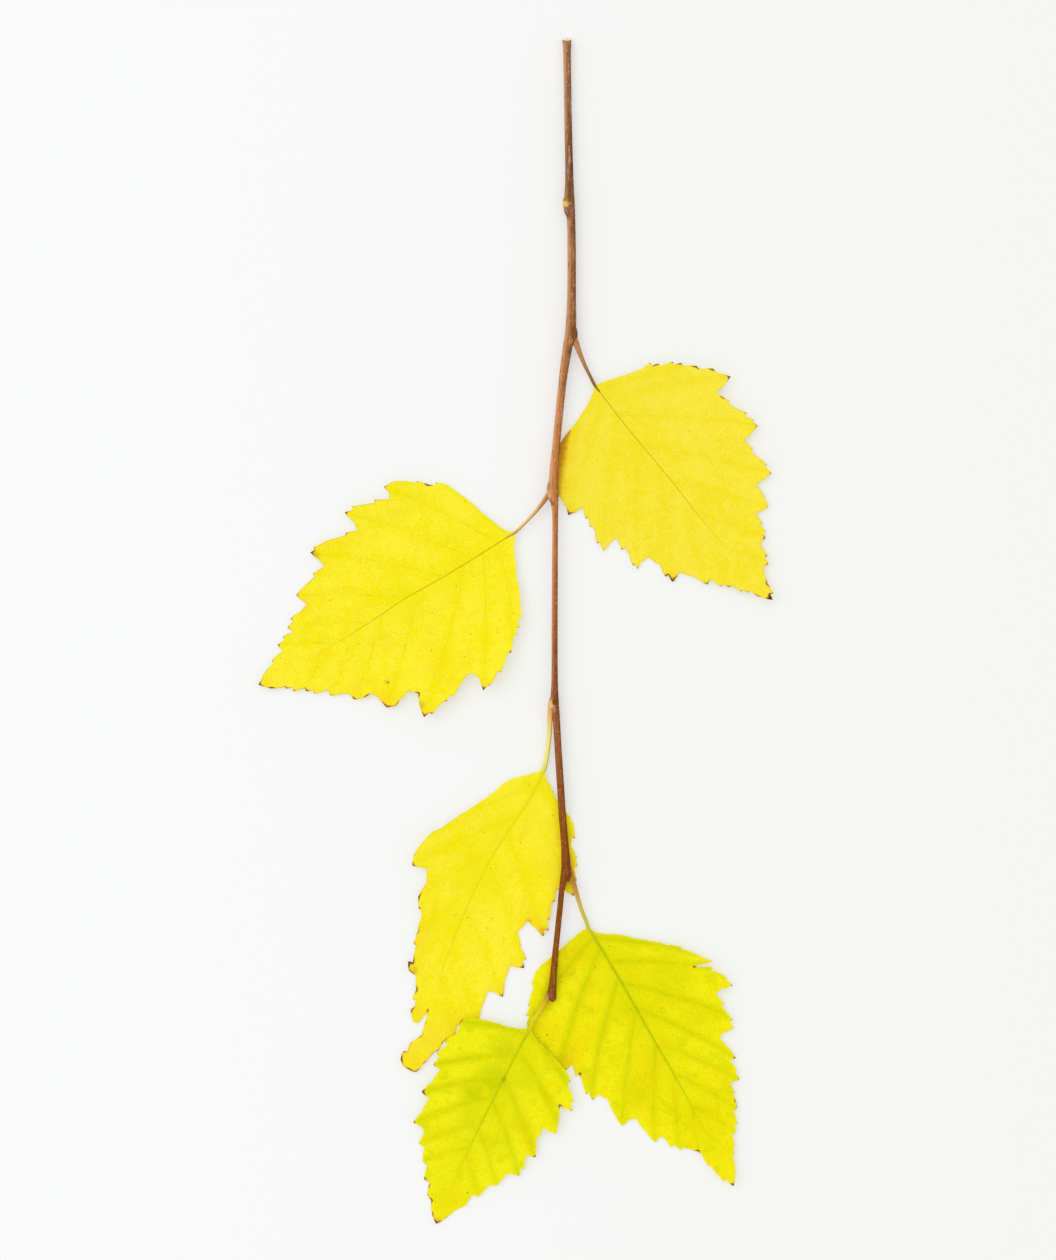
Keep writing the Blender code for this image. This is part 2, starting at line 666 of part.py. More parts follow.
def main():
    clear_scene()
    parts = new_collection(COLLECTION_NAME)
    cutters = new_collection("cutters")
    made = [build_twig("twig", parts)]
    cutter = build_twig("twig_clearance", cutters, SEAT_GAP)
    cutter.hide_render = True
    cutter.display_type = "WIRE"
    for name, leaf in LEAVES.items():
        made.append(build_leaf(name, leaf, cutters, parts))
    materials = {name: make_material(name) for name in MATERIALS}
    for obj in made:
        obj.data.materials.clear()
        obj.data.materials.append(materials[NODE_MATERIAL[obj.name]])
        obj.data.shade_smooth()
        obj.data.set_sharp_from_angle(angle=math.radians(40))


main()
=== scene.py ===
"""Looks of the autumn birch spray: fine leaves, stalks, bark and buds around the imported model.

The tables and the shapes are in millimetres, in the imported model's frame: Y along the twig towards
its cut end, X across it and Z up from the table. Each mesh is made metric when it is built.

A leaf has its own flat frame. "Along" runs from the foot of the blade to its tip, and "left" is the
distance to the left of a walk towards the tip.
"""

import math
import random

import bmesh
import bpy
import numpy as np
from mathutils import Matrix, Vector, noise
from mathutils.geometry import delaunay_2d_cdt


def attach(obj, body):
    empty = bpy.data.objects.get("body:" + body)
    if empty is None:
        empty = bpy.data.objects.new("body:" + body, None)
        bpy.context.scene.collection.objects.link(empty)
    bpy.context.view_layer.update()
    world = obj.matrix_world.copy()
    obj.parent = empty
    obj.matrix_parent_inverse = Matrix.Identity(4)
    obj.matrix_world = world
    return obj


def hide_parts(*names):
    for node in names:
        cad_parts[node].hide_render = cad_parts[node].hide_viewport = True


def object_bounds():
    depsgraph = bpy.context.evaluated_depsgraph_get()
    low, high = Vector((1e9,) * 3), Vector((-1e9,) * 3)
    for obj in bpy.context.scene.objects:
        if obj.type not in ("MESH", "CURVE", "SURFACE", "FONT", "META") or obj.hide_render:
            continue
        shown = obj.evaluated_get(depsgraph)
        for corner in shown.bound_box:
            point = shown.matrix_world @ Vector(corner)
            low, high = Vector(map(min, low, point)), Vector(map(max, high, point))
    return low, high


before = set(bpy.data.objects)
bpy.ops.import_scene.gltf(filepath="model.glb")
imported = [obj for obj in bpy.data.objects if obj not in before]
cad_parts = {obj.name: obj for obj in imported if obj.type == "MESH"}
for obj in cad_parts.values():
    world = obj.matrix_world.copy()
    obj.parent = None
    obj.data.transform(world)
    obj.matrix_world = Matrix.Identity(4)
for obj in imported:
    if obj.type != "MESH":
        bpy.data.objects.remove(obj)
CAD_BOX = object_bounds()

MM = 0.001

# The photograph's frame: 1056 by 1260 pixels at 0.25 mm a pixel, seen from straight above.
PHOTO_HEIGHT = 1260
PIXEL = 0.25
VIEW_CENTRE = (3.0, 0.25)
LENS = 100.0
SENSOR = 36.0

# An even white surround, and a soft key light from above, a little to the upper left.
SURROUND_STRENGTH = 0.86
KEY_STRENGTH = 0.7
KEY_SOFTNESS = math.radians(60)
KEY_TOWARDS = (0.45, -0.35, -1.0)

# The floor is a little cooler and lighter on its left side: painted light from the left. Its colours
# are linear.
FLOOR_SIZE = 6.0
FLOOR_GAP = 0.02
FLOOR_FADE = (-170.0, 170.0)
FLOOR_LEFT = (0.581, 0.586, 0.592, 1.0)
FLOOR_RIGHT = (0.551, 0.558, 0.532, 1.0)
FLOOR_GLOW = 0.34
FLOOR_ROUGHNESS = 0.9
WHITE = (1.0, 1.0, 1.0, 1.0)

# The twig: x, y, z and radius along its middle line, from the cut end to the far end.
TWIG_LINE = [
    (12.7, 147.6, 1.35, 1.15), (12.75, 143, 1.4, 0.97), (13, 128, 1.75, 0.95),
    (13.3, 114, 1.95, 1.03), (13.35, 107.2, 2, 1.3), (13.75, 102.5, 2.05, 1.07),
    (13.9, 93, 2.1, 1.07), (13.85, 83, 2.2, 1.13), (13.7, 76, 2.3, 1.32), (13, 71.5, 2.35, 1.22),
    (12, 65.3, 2.35, 1.08), (11.2, 58.3, 2.35, 1), (10.5, 51.3, 2.35, 0.98), (9.85, 44.3, 2.35, 1.03),
    (9.4, 38, 2.4, 1.2), (9.5, 34, 2.4, 1.15), (9.75, 28.5, 2.35, 0.76), (9.7, 16, 2.3, 0.75),
    (9.65, 2, 2.25, 0.77), (9.65, -12, 2.25, 0.82), (9.65, -17.8, 2.3, 1.08), (10.05, -22, 2.3, 0.94),
    (10.45, -28.5, 2.35, 0.88), (11, -37, 2.4, 0.92), (11.55, -45.5, 2.45, 0.93),
    (12.15, -53, 2.5, 0.96), (12.4, -57, 2.55, 1.13), (12.45, -59.5, 2.55, 1.2),
    (11.88, -62.2, 2.55, 0.95), (11.42, -64.6, 2.5, 0.73), (10.73, -71.5, 2.45, 0.74),
    (9.93, -79, 2.45, 0.77), (9.37, -85.5, 2.45, 0.87), (9.05, -89.5, 2.45, 1.05),
    (9.1, -91.6, 2.45, 0.95), (9.2, -92.6, 2.45, 0.55),
]
TWIG_RING_STEP = 0.5
TWIG_SIDES = 24
TWIG_VOXEL = 0.16
SMOOTHING = 0.5
SMOOTHING_ROUNDS = 3
TWIG_END_ROUND = 0.9
CUT_SLANT = 0.42
CUT_DEPTH = 0.14
TWIG_SEED = 11

# Cushions under the leaf stalks and the fallen leaf's scar: x, y, z, length, width and height.
CUSHIONS = [
    (12.6, 106.6, 2.05, 4.2, 1.9, 1.9),
    (14.35, 73.9, 2.25, 5.2, 2.1, 2.1),
    (8.6, 35.4, 2.35, 4.4, 1.8, 2.0),
    (8.9, -18.3, 2.3, 3.8, 1.7, 1.9),
    (13.1, -60.4, 2.5, 4.2, 1.8, 2.0),
    (8.6, -90.0, 2.45, 3.2, 1.6, 1.8),
]

# The bark's relief: long streaks, fine grain, and wrinkles below each cushion.
STREAK_HEIGHT = 0.035
STREAK_NOISE = 1.5
STREAK_STRETCH = (1.0, 0.12, 1.0)
GRAIN_HEIGHT = 0.02
GRAIN_NOISE = 1.7
WRINKLE_HEIGHT = 0.035
WRINKLE_DROP = 3.2
WRINKLE_PITCH = 1.1
WRINKLE_REACH = 2.2

# Buds: foot, tip, width, and the colours of the scales and of their tips.
BUDS = [
    ((12.35, 105.6, 2.75), (12.9, 102.9, 2.95), 1.15, (146, 104, 78), (104, 66, 62)),
    ((13.8, 73.3, 2.85), (13.2, 70.4, 3.1), 1.15, (172, 112, 92), (120, 76, 58)),
    ((8.2, 35.0, 2.75), (8.9, 31.6, 2.9), 1.15, (208, 158, 112), (120, 76, 44)),
    ((9.4, -18.3, 2.8), (9.9, -21.2, 3.1), 1.1, (186, 114, 92), (140, 74, 50)),
    ((12.9, -59.2, 3.1), (12.3, -61.6, 3.3), 0.9, (146, 68, 44), (112, 46, 26)),
    ((8.7, -89.9, 3.0), (8.95, -92.2, 3.2), 1.05, (150, 64, 64), (120, 44, 46)),
]
BUD_SIDES = 28
BUD_RINGS = 34
BUD_RIM = (226, 190, 150)
BUD_SCALES = 5
SCALE_TURN = 2.4
SCALE_HEIGHT = 0.035

# Teeth between the lobes, on stretches whose run is at least this much towards the tip.
TOOTHED_RUN = 0.35
TOOTH_PITCH = 2.1
TOOTH_SHIFT = 0.12
TOOTH_HEIGHT = 0.66
TOOTH_SIZES = (0.65, 1.3)
TOOTH_LEAN = 0.55
NOTCH_LEAN = 0.67
NOTCH_DEPTH = 0.2
MARGIN_STEP = 0.4
MARGIN_BOW = 0.03
MARGIN_ROUGHNESS = 0.16
MARGIN_NOISE = 0.9
MAIN_TIP_RADII = (0.8, 1.4)
SMALL_TIP_RADII = (0.4, 0.8)
TIP_DARKNESS = (0.3, 0.95)

# The sheet of a blade, its veins and the fine relief between them. The scale of each noise is
# how many of its bumps there are in a millimetre.
GRID = 0.42
GRID_ROW = 0.866
GRID_CLEARANCE = 0.6
HEIGHT_REACH = 26.0
UNDER_TWIG = 1.7
LIFT_REACH = 5.0
PLEAT_START = 9.0
PLEAT_NOISE = 0.12
BLADE_MIDDLE = 0.3
BLADE_HALF = 0.14
BLADE_HALF_AT_EDGE = 0.06
BLADE_EDGE = 0.8
LOWEST = 0.01
VEIN_BOW = 0.02
VEIN_WANDER = 0.4
WANDER_NOISE = 0.14
VEIN_STEPS = 14
VEIN_HALF_WIDTH = 0.2
VEIN_THINNING = 0.65
VEIN_DEPTH = 0.04
VEIN_RIDGE = 0.12
VEIN_FADE = 2.0
RIB_HALF_WIDTH = 0.3
RIB_THINNING = 0.7
RIB_DEPTH = 0.1
RIB_RIDGE = 0.06
RIB_END = 0.9
RIB_FADE = 0.4
LEAST_WIDTH = 0.2
DRY_START = 0.12
DRY_FADE = 0.2
VEIN_GREEN_REACH = 1.2
LADDER_ANGLE = math.radians(47)
LADDER_PITCH = 2.1
LADDER_WANDER = 1.3
LADDER_NOISE = 0.3
QUILT_HEIGHT = 0.03
QUILT_FROM_VEIN = 1.4
QUILT_FROM_RIB = 1.6
RUFFLE_HEIGHT = 0.3
RUFFLE_REACH = 5.0
RUFFLE_NOISE = 0.16

# Leaf stalks: how each tapers on into its blade, as shares of that run and of its radius.
STALK_TAPER = [(0.0, 0.95), (0.25, 0.8), (0.5, 0.6), (0.75, 0.42), (1.0, 0.25)]
STALK_SINK = 0.3
STALK_SIDES = 20
STALK_RING_STEP = 0.4
STALK_ROUNDS = (0.4, 2.0)
STALK_GROOVE = 0.2
GROOVE_HALF_WIDTH = 0.45
STALK_ROUGHNESS = 0.05
STALK_NOISE = 1.3
STALK_SHADED_SIDE = (0.8, -0.6, 0.0)

# Each leaf's outline, lie and stalk (x, y, z and radius), near the imported model's. "run_in" is how
# far the stalk shows in the blade. "heights" are the sheet's at the foot, middle and tip, each
# from right to left. A side vein is where it leaves the midrib, then where it ends. Brown spots on
# the margin are "burns" and small ones inside it "specks". Golden, brownish and green patches are
# "gold", "tan" and "green"; on leaf_1 the "tan" band along the twig is partly painted shadow of
# the twig. A spot or patch is its along, left, radius and strength.
LEAVES = {}
LEAVES["leaf_1"] = {
    "foot": (20.25, 61.75), "heading": -51, "run_in": 11,
    "rib": [(0, -0.7), (12, -1), (30, -0.8), (42, -1), (56, -0.5), (69.5, 0)],
    "heights": [(-0.6, 1, 2.4), (0.5, -0.7, 2.4), (2.8, 2.2, 3.2)],
    "stalk": [(14, 74.3, 2.3, 0.92), (14.95, 71.8, 2.3, 0.76), (16, 69, 2.15, 0.6),
        (17.15, 66.3, 1.95, 0.48), (18.4, 63.8, 1.7, 0.42)],
    "left_base": [(1.2, 3), (2.8, 7), (4.2, 11)],
    "left_lobes": [
        [(5.7, 15), (6.6, 15.1), (9.2, 19.5), (10.2, 19.6), (12.3, 22), (13.3, 22.1), (15.4, 24.8),
         (16.4, 24.6), (19.7, 26.9)],
        [(20.6, 21.4), (26.5, 22.9), (33.4, 24.5)],
        [(34.2, 19.4), (39, 19.4), (44.8, 19.7)],
        [(44.5, 15), (48, 14.7), (50.8, 13.8)],
        [(50.1, 10.4), (56.4, 8.4)],
        [(56.5, 6.4), (61.9, 4.8)],
        [(61.7, 3.1), (65.5, 1.6)],
    ],
    "right_base": [(1.3, 2.6), (2.9, 6), (4.2, 10.5), (4.9, 13.6)],
    "right_lobes": [
        [(5.6, 16), (8, 19.8), (11, 22.6), (13.8, 24.6), (16.2, 25.1), (19.2, 25.3), (21, 26.2)],
        [(21.8, 22.2), (28.5, 23.6), (33.4, 25.1)],
        [(32.8, 21.8), (33.1, 20.3), (38, 20.5), (42.4, 21.3)],
        [(41.5, 19.6), (41.8, 17.2), (45.2, 16.3), (50.4, 16.4)],
        [(49.5, 13.5), (52.8, 11.4), (56.3, 10.2)],
        [(55.7, 8.7), (60.2, 6.4)],
        [(60.3, 5.6), (64.2, 3.6)],
        [(64.3, 2.9), (66.4, 2.3)],
    ],
    "left_veins": [(1.5, 9.5, 18.5), (4.5, 19.7, 26.9), (9.5, 33.4, 24.5), (19.5, 44.8, 19.7),
        (31, 50.8, 13.8), (41, 56.4, 8.4), (50.5, 61.9, 4.8)],
    "right_veins": [(1.5, 9.5, 20.5), (4.5, 21, 26.2), (10, 33.4, 25.1), (17.5, 42.4, 21.3),
        (26.5, 50.4, 16.4), (38, 56.3, 10.2), (48.5, 60.2, 6.4)],
    "burns": [(69.5, 0, 1.7, 1.7), (68.2, 0.1, 1, 1.2), (22.5, 21.8, 1, 0.7), (50.4, -16.4, 2.3, 1),
        (5.2, 14.4, 1.2, 0.9), (8.9, 19.2, 1.1, 0.8), (15.2, 24.6, 1.1, 0.9), (12.1, 21.9, 1.4, 0.9),
        (19.7, 26.9, 1.4, 0.9), (21, -26.2, 1.9, 0.9), (48.5, -16.5, 1.1, 0.9)],
    "specks": [(23.5, 10.5, 0.45, 0.5), (19.5, 18.2, 0.4, 0.4), (28, 15.3, 0.35, 0.4),
        (50, -3.2, 0.3, 0.4), (39.3, -8.5, 0.3, 0.3)],
    "gold": [(5, -13.5, 3, 1), (8.5, -18, 3.4, 1), (14, -22.5, 3, 0.8), (20.5, -25.5, 2.2, 0.8),
        (69, 0, 4, 0.6), (50, -15.8, 3.4, 0.7)],
    # The tan band along the twig is partly the leaf's brown and partly painted shadow of the twig.
    "tan": [(4.6, -13.4, 1.1, 1), (5, -14.6, 1.5, 1), (5.8, -15.7, 1.6, 0.95), (6.8, -16.8, 1.6, 0.9),
        (7.8, -17.9, 1.6, 0.85), (8.8, -18.9, 1.6, 0.8), (9.8, -19.9, 1.6, 0.75),
        (10.8, -20.9, 1.6, 0.7), (11.8, -21.9, 1.6, 0.65), (12.8, -22.9, 1.5, 0.6),
        (13.8, -23.9, 1.5, 0.55), (14.8, -24.8, 1.4, 0.5)],
    "green": [],
}
LEAVES["leaf_2"] = {
    "foot": (-0.25, 25), "heading": -148.7, "run_in": 9,
    "rib": [(0, 0.3), (10, 0.5), (22, 0.5), (32, 0.2), (42, 0.6), (52, 0.8), (64, 0.4), (74.6, -0.4)],
    "heights": [(0.8, 1.3, 4), (1.4, -0.8, 2.8), (1.6, 1.2, 2.4)],
    "stalk": [(8.9, 35.3, 2.4, 0.85), (7.4, 33.1, 2.35, 0.66), (5.4, 30.4, 2.1, 0.5),
        (3, 27.8, 1.8, 0.42)],
    "left_base": [(2.2, 3), (3.7, 6.2), (5.4, 9.5), (6.7, 13), (8.7, 17)],
    "left_lobes": [
        [(14.6, 23.2), (18.6, 26.1), (23.3, 28.7), (27.4, 29.9)],
        [(26.7, 27), (27.2, 25.2), (29, 24.4), (32.2, 26), (38.5, 27.5), (43.4, 27.9)],
        [(43.1, 25.4), (41.7, 22.2), (43.2, 20.4), (45.6, 20.9), (48.3, 21.9), (50.3, 20.9)],
        [(50.7, 17.8), (51.8, 16), (54, 16), (56.2, 15)],
        [(56.4, 13.6), (57.6, 12.4), (60.7, 11.3)],
        [(60.5, 9.6), (65.4, 7.1)],
        [(65.2, 6.2), (69.2, 4)],
        [(69.3, 3.4), (72.3, 2.1)],
    ],
    "right_base": [(2.2, 1.6), (3.5, 4.8), (5.4, 8.5), (6.8, 12.5), (7.9, 16.6)],
    "right_lobes": [
        [(8.3, 18.5), (12.3, 20.9), (16.2, 24.2), (19, 26.1), (22.2, 26.4)],
        [(21.9, 24.4), (22.7, 22.8), (28.2, 24.9), (33.9, 26)],
        [(33.2, 22.6), (33.3, 20.4), (38.5, 21.5), (42, 22.3), (46.5, 21.9)],
        [(45.6, 19.4), (45.2, 17), (51, 15.8), (55, 14.7)],
        [(53.8, 11.2), (56.3, 10.7), (61.1, 8.9)],
        [(60.3, 7.2), (65.4, 6.5)],
        [(65, 4.6), (68.6, 3.9)],
        [(68.8, 3), (71, 2.5)],
    ],
    "left_veins": [(5, 14.6, 23.2), (9.5, 27.4, 29.9), (15, 43.4, 27.9), (28.5, 50.3, 20.9),
        (39, 56.2, 15), (48, 60.7, 11.3), (57, 65.4, 7.1)],
    "right_veins": [(2, 8.5, 18.5), (5, 22.2, 26.4), (12.5, 33.9, 26), (21, 46.5, 21.9),
        (32, 55, 14.7), (43, 61.1, 8.9), (53, 65.4, 6.5)],
    "burns": [(74.6, -0.4, 1.6, 0.8), (46.5, -21.9, 1.9, 0.9), (43.4, 27.9, 1.6, 0.9),
        (41.7, 22.2, 1.1, 0.9), (50.3, 20.9, 2.4, 0.8), (47.5, 22, 1.8, 0.6), (53, 16.2, 1.2, 0.8),
        (12.5, -21.2, 1.2, 0.9), (27.4, 29.8, 1.4, 0.9), (33.9, -26, 1.2, 0.7), (56.2, 15, 1, 0.8)],
    "specks": [(19.7, 4.2, 0.35, 0.6), (40.7, 6, 0.35, 0.5), (59.8, 3.5, 0.35, 0.7),
        (15.8, -6.3, 0.4, 0.5), (18.8, -7.7, 0.35, 0.6), (48.5, -9.3, 0.35, 0.7),
        (46.7, 15.9, 0.4, 0.7), (33.3, 14.6, 0.35, 0.6), (38.7, -3.6, 0.3, 0.5), (9.3, 6.8, 0.3, 0.5),
        (10.2, 9.4, 0.3, 0.5), (22, 12.8, 0.3, 0.5), (54.5, 9.9, 0.3, 0.4), (26.5, 9.5, 0.3, 0.4),
        (21.3, 10.4, 0.3, 0.5)],
    "gold": [(50.3, 20, 4.5, 0.8), (43, 27, 3.4, 0.6), (55, 14, 4, 0.5), (27, 29, 3, 0.5),
        (46, -21, 2.6, 0.6), (34, 18, 6, 0.3), (54.5, -12, 2.6, 0.6), (74, 0, 3, 0.6)],
    "tan": [(42.6, 25, 1.4, 0.5), (47, 15.6, 0.9, 0.5), (45.5, -20.6, 1.2, 0.5)],
    "green": [(20, 2, 6, 0.5), (33, 1, 7, 0.5), (14, -7, 4, 0.4)],
}
LEAVES["leaf_3"] = {
    "foot": (7, -36), "heading": -114.7, "run_in": 6,
    "rib": [(-1.9, -0.7), (3, -0.4), (10, -1.2), (20, -2.8), (28, -3.5), (40, -3.6), (55, -2.6),
        (68, 0.5), (80.9, 0.3)],
    "heights": [(1.4, 0.7, 0), (2.8, -0.5, 0.3), (2.2, 0.6, 0.6)],
    "stalk": [(8.9, -18, 2.35, 0.8), (8.5, -20.8, 2.35, 0.7), (8.35, -25.5, 2, 0.6),
        (7.85, -30, 1.5, 0.57)],
    "left_base": [(-1, -0.1), (0.4, 0.7), (1.9, 2.7), (3.9, 5.1), (5.6, 8), (6.8, 10.4)],
    "left_lobes": [
        [(8.6, 12.1), (13.2, 13.5), (17.1, 17.1)],
        [(17.9, 16.5), (24.3, 19.4)],
        [(23.8, 16), (24.6, 14.7), (29.5, 15.4), (36.6, 16.7)],
        [(35.6, 14), (34.8, 11.4), (38.5, 10.4), (41.6, 12.8), (45.8, 15.6)],
        [(46.9, 12.1), (51, 12.6), (54.7, 13.8)],
        [(54.4, 11.2), (55, 9.7), (59, 10.1), (62.6, 10.7)],
        [(62.9, 8.4), (64.4, 7.1), (66.3, 6.5), (68.4, 6.9)],
        [(69.6, 5.6), (71.2, 4.9), (73.7, 4.8)],
        [(74.3, 3.9), (77.8, 2.9), (80.8, 2)],
    ],
    "right_base": [(-1.6, 1.2), (-0.7, 1.4), (0.2, 2), (1.3, 3.3), (3, 5.5), (5, 7.6), (8, 9.1),
        (11.5, 10.9), (18.7, 15.4), (22.8, 17.9)],
    "right_lobes": [
        [(24.2, 19.2), (28, 20.6), (31.5, 21.2), (34.2, 20.5)],
        [(33.3, 16.7), (36.5, 15.4), (40.6, 15.8)],
        [(44.5, 13.1), (48.5, 12.3)],
        [(53.5, 10.9), (56.2, 10.2), (56.4, 11.4)],
        [(58.4, 10.3), (58.8, 8.1), (62, 6.6)],
        [(66, 5.1), (67.2, 5.8)],
        [(68.2, 5), (69.8, 3.8), (69.2, 2.6), (65.4, 1.8), (68, 1.1), (71.8, 0.6), (75.2, 2.5)],
        [(77, 2), (77.2, 3.1), (79.4, 2.9), (80.7, 1.6)],
    ],
    "left_veins": [(2, 13.2, 13.5), (8, 24.3, 19.4), (17, 36.6, 16.7), (26, 45.8, 15.6),
        (38.5, 54.7, 13.8), (49, 62.6, 10.7), (58, 68.4, 6.9)],
    "right_veins": [(3, 22.8, 17.9), (12, 34.2, 20.5), (22, 40.6, 15.8), (33, 48.5, 12.3),
        (43, 56.2, 10.2), (52, 62, 6.6)],
    "burns": [(56.4, -11, 2.1, 1), (58.6, -9.6, 1.6, 0.7), (67, -5.8, 1.4, 0.8),
        (80.9, 0.3, 1.5, 0.8), (79.4, -2.8, 1.6, 0.9), (77, -3, 1.3, 0.7), (74.5, -2.6, 1, 0.6),
        (80, 2, 1.1, 0.6), (77.5, 3, 1, 0.6), (36.6, 16.6, 1.1, 0.6), (45.8, 15.5, 1.2, 0.9),
        (54.7, 13.7, 1.2, 0.8), (65.4, -1.8, 1, 0.6), (68.5, -1.2, 0.9, 0.5), (72, -0.8, 0.9, 0.6),
        (75, 3.8, 1, 0.5), (71.2, 4.9, 1, 0.6), (64.4, 7.1, 1.1, 0.7), (14.5, 14.8, 0.8, 0.4),
        (31.5, -21.2, 0.8, 0.4), (24.3, 19.4, 1, 0.7)],
    "specks": [(8.2, 6.2, 0.4, 0.6), (17.8, 1.8, 0.35, 0.6), (19.2, -7.6, 0.35, 0.6),
        (28, 4.6, 0.3, 0.4), (63, 4.6, 0.35, 0.6), (56.3, -1.6, 0.4, 0.4), (35.6, -3, 0.3, 0.4),
        (47, 6, 0.3, 0.3)],
    "gold": [(12, 12, 3.6, 1), (16.5, 15.5, 4, 1), (22, 18, 4.4, 1), (27, 18.5, 3.6, 0.8),
        (31, 15.5, 3, 0.5), (34.5, 12, 3.2, 0.7), (36, 14.5, 3.6, 0.8), (47, -11.5, 3, 0.5),
        (51, -10.5, 3, 0.6), (10, 7.5, 2.5, 0.5), (20, 11, 4, 0.4), (56.5, -10.5, 3, 0.8),
        (79, 0, 4.5, 0.7), (72, 1, 5, 0.6), (67, -4.5, 3, 0.6), (46, 14, 3, 0.5),
        (54.5, 12.5, 3.4, 0.6), (66, 4, 4, 0.5)],
    "tan": [(35.6, 16, 1.5, 0.5), (57.8, -9, 1.2, 0.5), (34.6, 11.8, 1, 0.5)],
    "green": [(17, -4, 5, 0.5), (30, -4, 7, 0.7), (42, -5, 6, 0.5), (24, -9, 5, 0.4)],
}
LEAVES["leaf_4"] = {
    "foot": (19, -75), "heading": -60.9, "run_in": 12,
    "rib": [(-1, -0.4), (5, -0.1), (15, 0.2), (30, 0.3), (45, 0.5), (60, 0.3), (72.6, 0)],
    "heights": [(-0.3, 0.8, 2.2), (0.2, -0.7, 2.4), (1.8, 1.8, 3)],
    "stalk": [(12.5, -57.6, 2.45, 0.9), (13.5, -60.6, 2.45, 0.84), (14.42, -63.2, 2.4, 0.65),
        (15.3, -66.2, 2.25, 0.54), (16.3, -69.4, 1.95, 0.5), (17.5, -72.5, 1.5, 0.48)],
    "left_base": [(0.8, 0.9), (2.2, 2.6), (4, 5.5), (6.5, 8.3), (9, 11.5), (12, 14.8)],
    "left_lobes": [
        [(16.5, 19.2), (18.8, 20.8), (21.1, 22.7)],
        [(20.2, 19.5), (19.8, 17.5), (20.8, 19.2), (23.8, 22.3), (28.7, 24.1)],
        [(28.2, 21), (28.6, 19.2), (33.5, 19.3), (38.2, 19.2)],
        [(38, 15.6), (39.4, 14.9), (43, 15.8), (45.1, 16)],
        [(44.7, 14.4), (50.1, 14.2)],
        [(49.8, 11.5), (54, 10.9), (56.1, 10.2)],
        [(56.3, 9), (61.3, 7)],
        [(61.4, 5.7), (65.7, 4.1)],
        [(65.9, 3.5), (69.4, 2.2)],
    ],
    "right_base": [(-1.4, 1), (-1.2, 3), (-0.4, 7), (0.5, 11), (1, 14)],
    "right_lobes": [
        [(1.9, 17), (6.2, 20.6), (12.5, 25.5), (19.5, 27.8)],
        [(20.3, 24.6), (24, 23.6), (27.1, 22.8)],
        [(26.8, 20.5), (31, 20.2), (36.9, 20.5)],
        [(36.5, 18.4), (38.6, 17), (42, 17.3), (46.1, 17.1)],
        [(45.7, 14.5), (46.3, 13.1), (50, 12.7), (53.8, 11.9)],
        [(53.2, 10.2), (53.7, 9.3), (58.6, 7.3)],
        [(58.3, 6.2), (60.9, 3.6)],
        [(62, 3.1), (67.6, 2.3)],
    ],
    "left_veins": [(1.5, 16.5, 19.2), (8.8, 22.5, 22), (14.8, 34.5, 19.3), (22, 45.1, 16),
        (32, 50.1, 14.2), (41, 56.1, 10.2), (50, 61.3, 7), (58, 65.7, 4.1)],
    "right_veins": [(1.5, 12.5, 25.5), (4.7, 25, 23.2), (13.3, 36, 20.5), (22.5, 46.1, 17.1),
        (32.5, 53.8, 11.9), (41.5, 58.6, 7.3), (51, 62, 3.6)],
    "burns": [(72.6, 0, 1.4, 0.9), (60.8, -3.6, 0.9, 0.9), (29.6, -19.7, 0.9, 1),
        (45, 15.9, 0.8, 0.7), (54.2, 10.4, 0.9, 0.7), (20.2, 18, 0.7, 0.7)],
    "specks": [(17.2, -22.4, 0.36, 0.75), (7.3, -12.8, 0.38, 0.6), (7, -9.5, 0.4, 0.3),
        (8.2, -3.7, 0.35, 0.6), (5.3, 2, 0.25, 0.7), (25.2, 5.9, 0.35, 0.6), (41, -12.4, 0.3, 0.5),
        (49, 7, 0.3, 0.4), (11.8, -7.3, 0.3, 0.4)],
    "gold": [(35, -3, 4, 0.7), (39, -6, 3.5, 0.8), (13, -7, 3, 0.8), (16, -10, 3, 0.7),
        (22.5, -14, 3.4, 0.8), (24.5, -19.5, 4, 0.9), (2.5, -7, 3.4, 0.9), (5, -10.5, 2.6, 0.7),
        (17, -21.5, 3.6, 0.7), (43, -10, 3.4, 0.6), (49, 8.5, 5, 0.5), (56, 3, 6, 0.4),
        (64, 0, 6, 0.5), (31, -19, 3, 0.5)],
    "tan": [(25, -20.8, 2.6, 0.3), (1.6, -6.4, 1.4, 0.25), (7, -9.6, 1.2, 0.3)],
    "green": [(19, 11, 7, 0.6), (21, -1, 4, 0.7), (40, -10, 5, 0.5), (31, 13, 5, 0.4),
        (30, -10, 4, 0.4), (12, 4, 5, 0.5)],
}
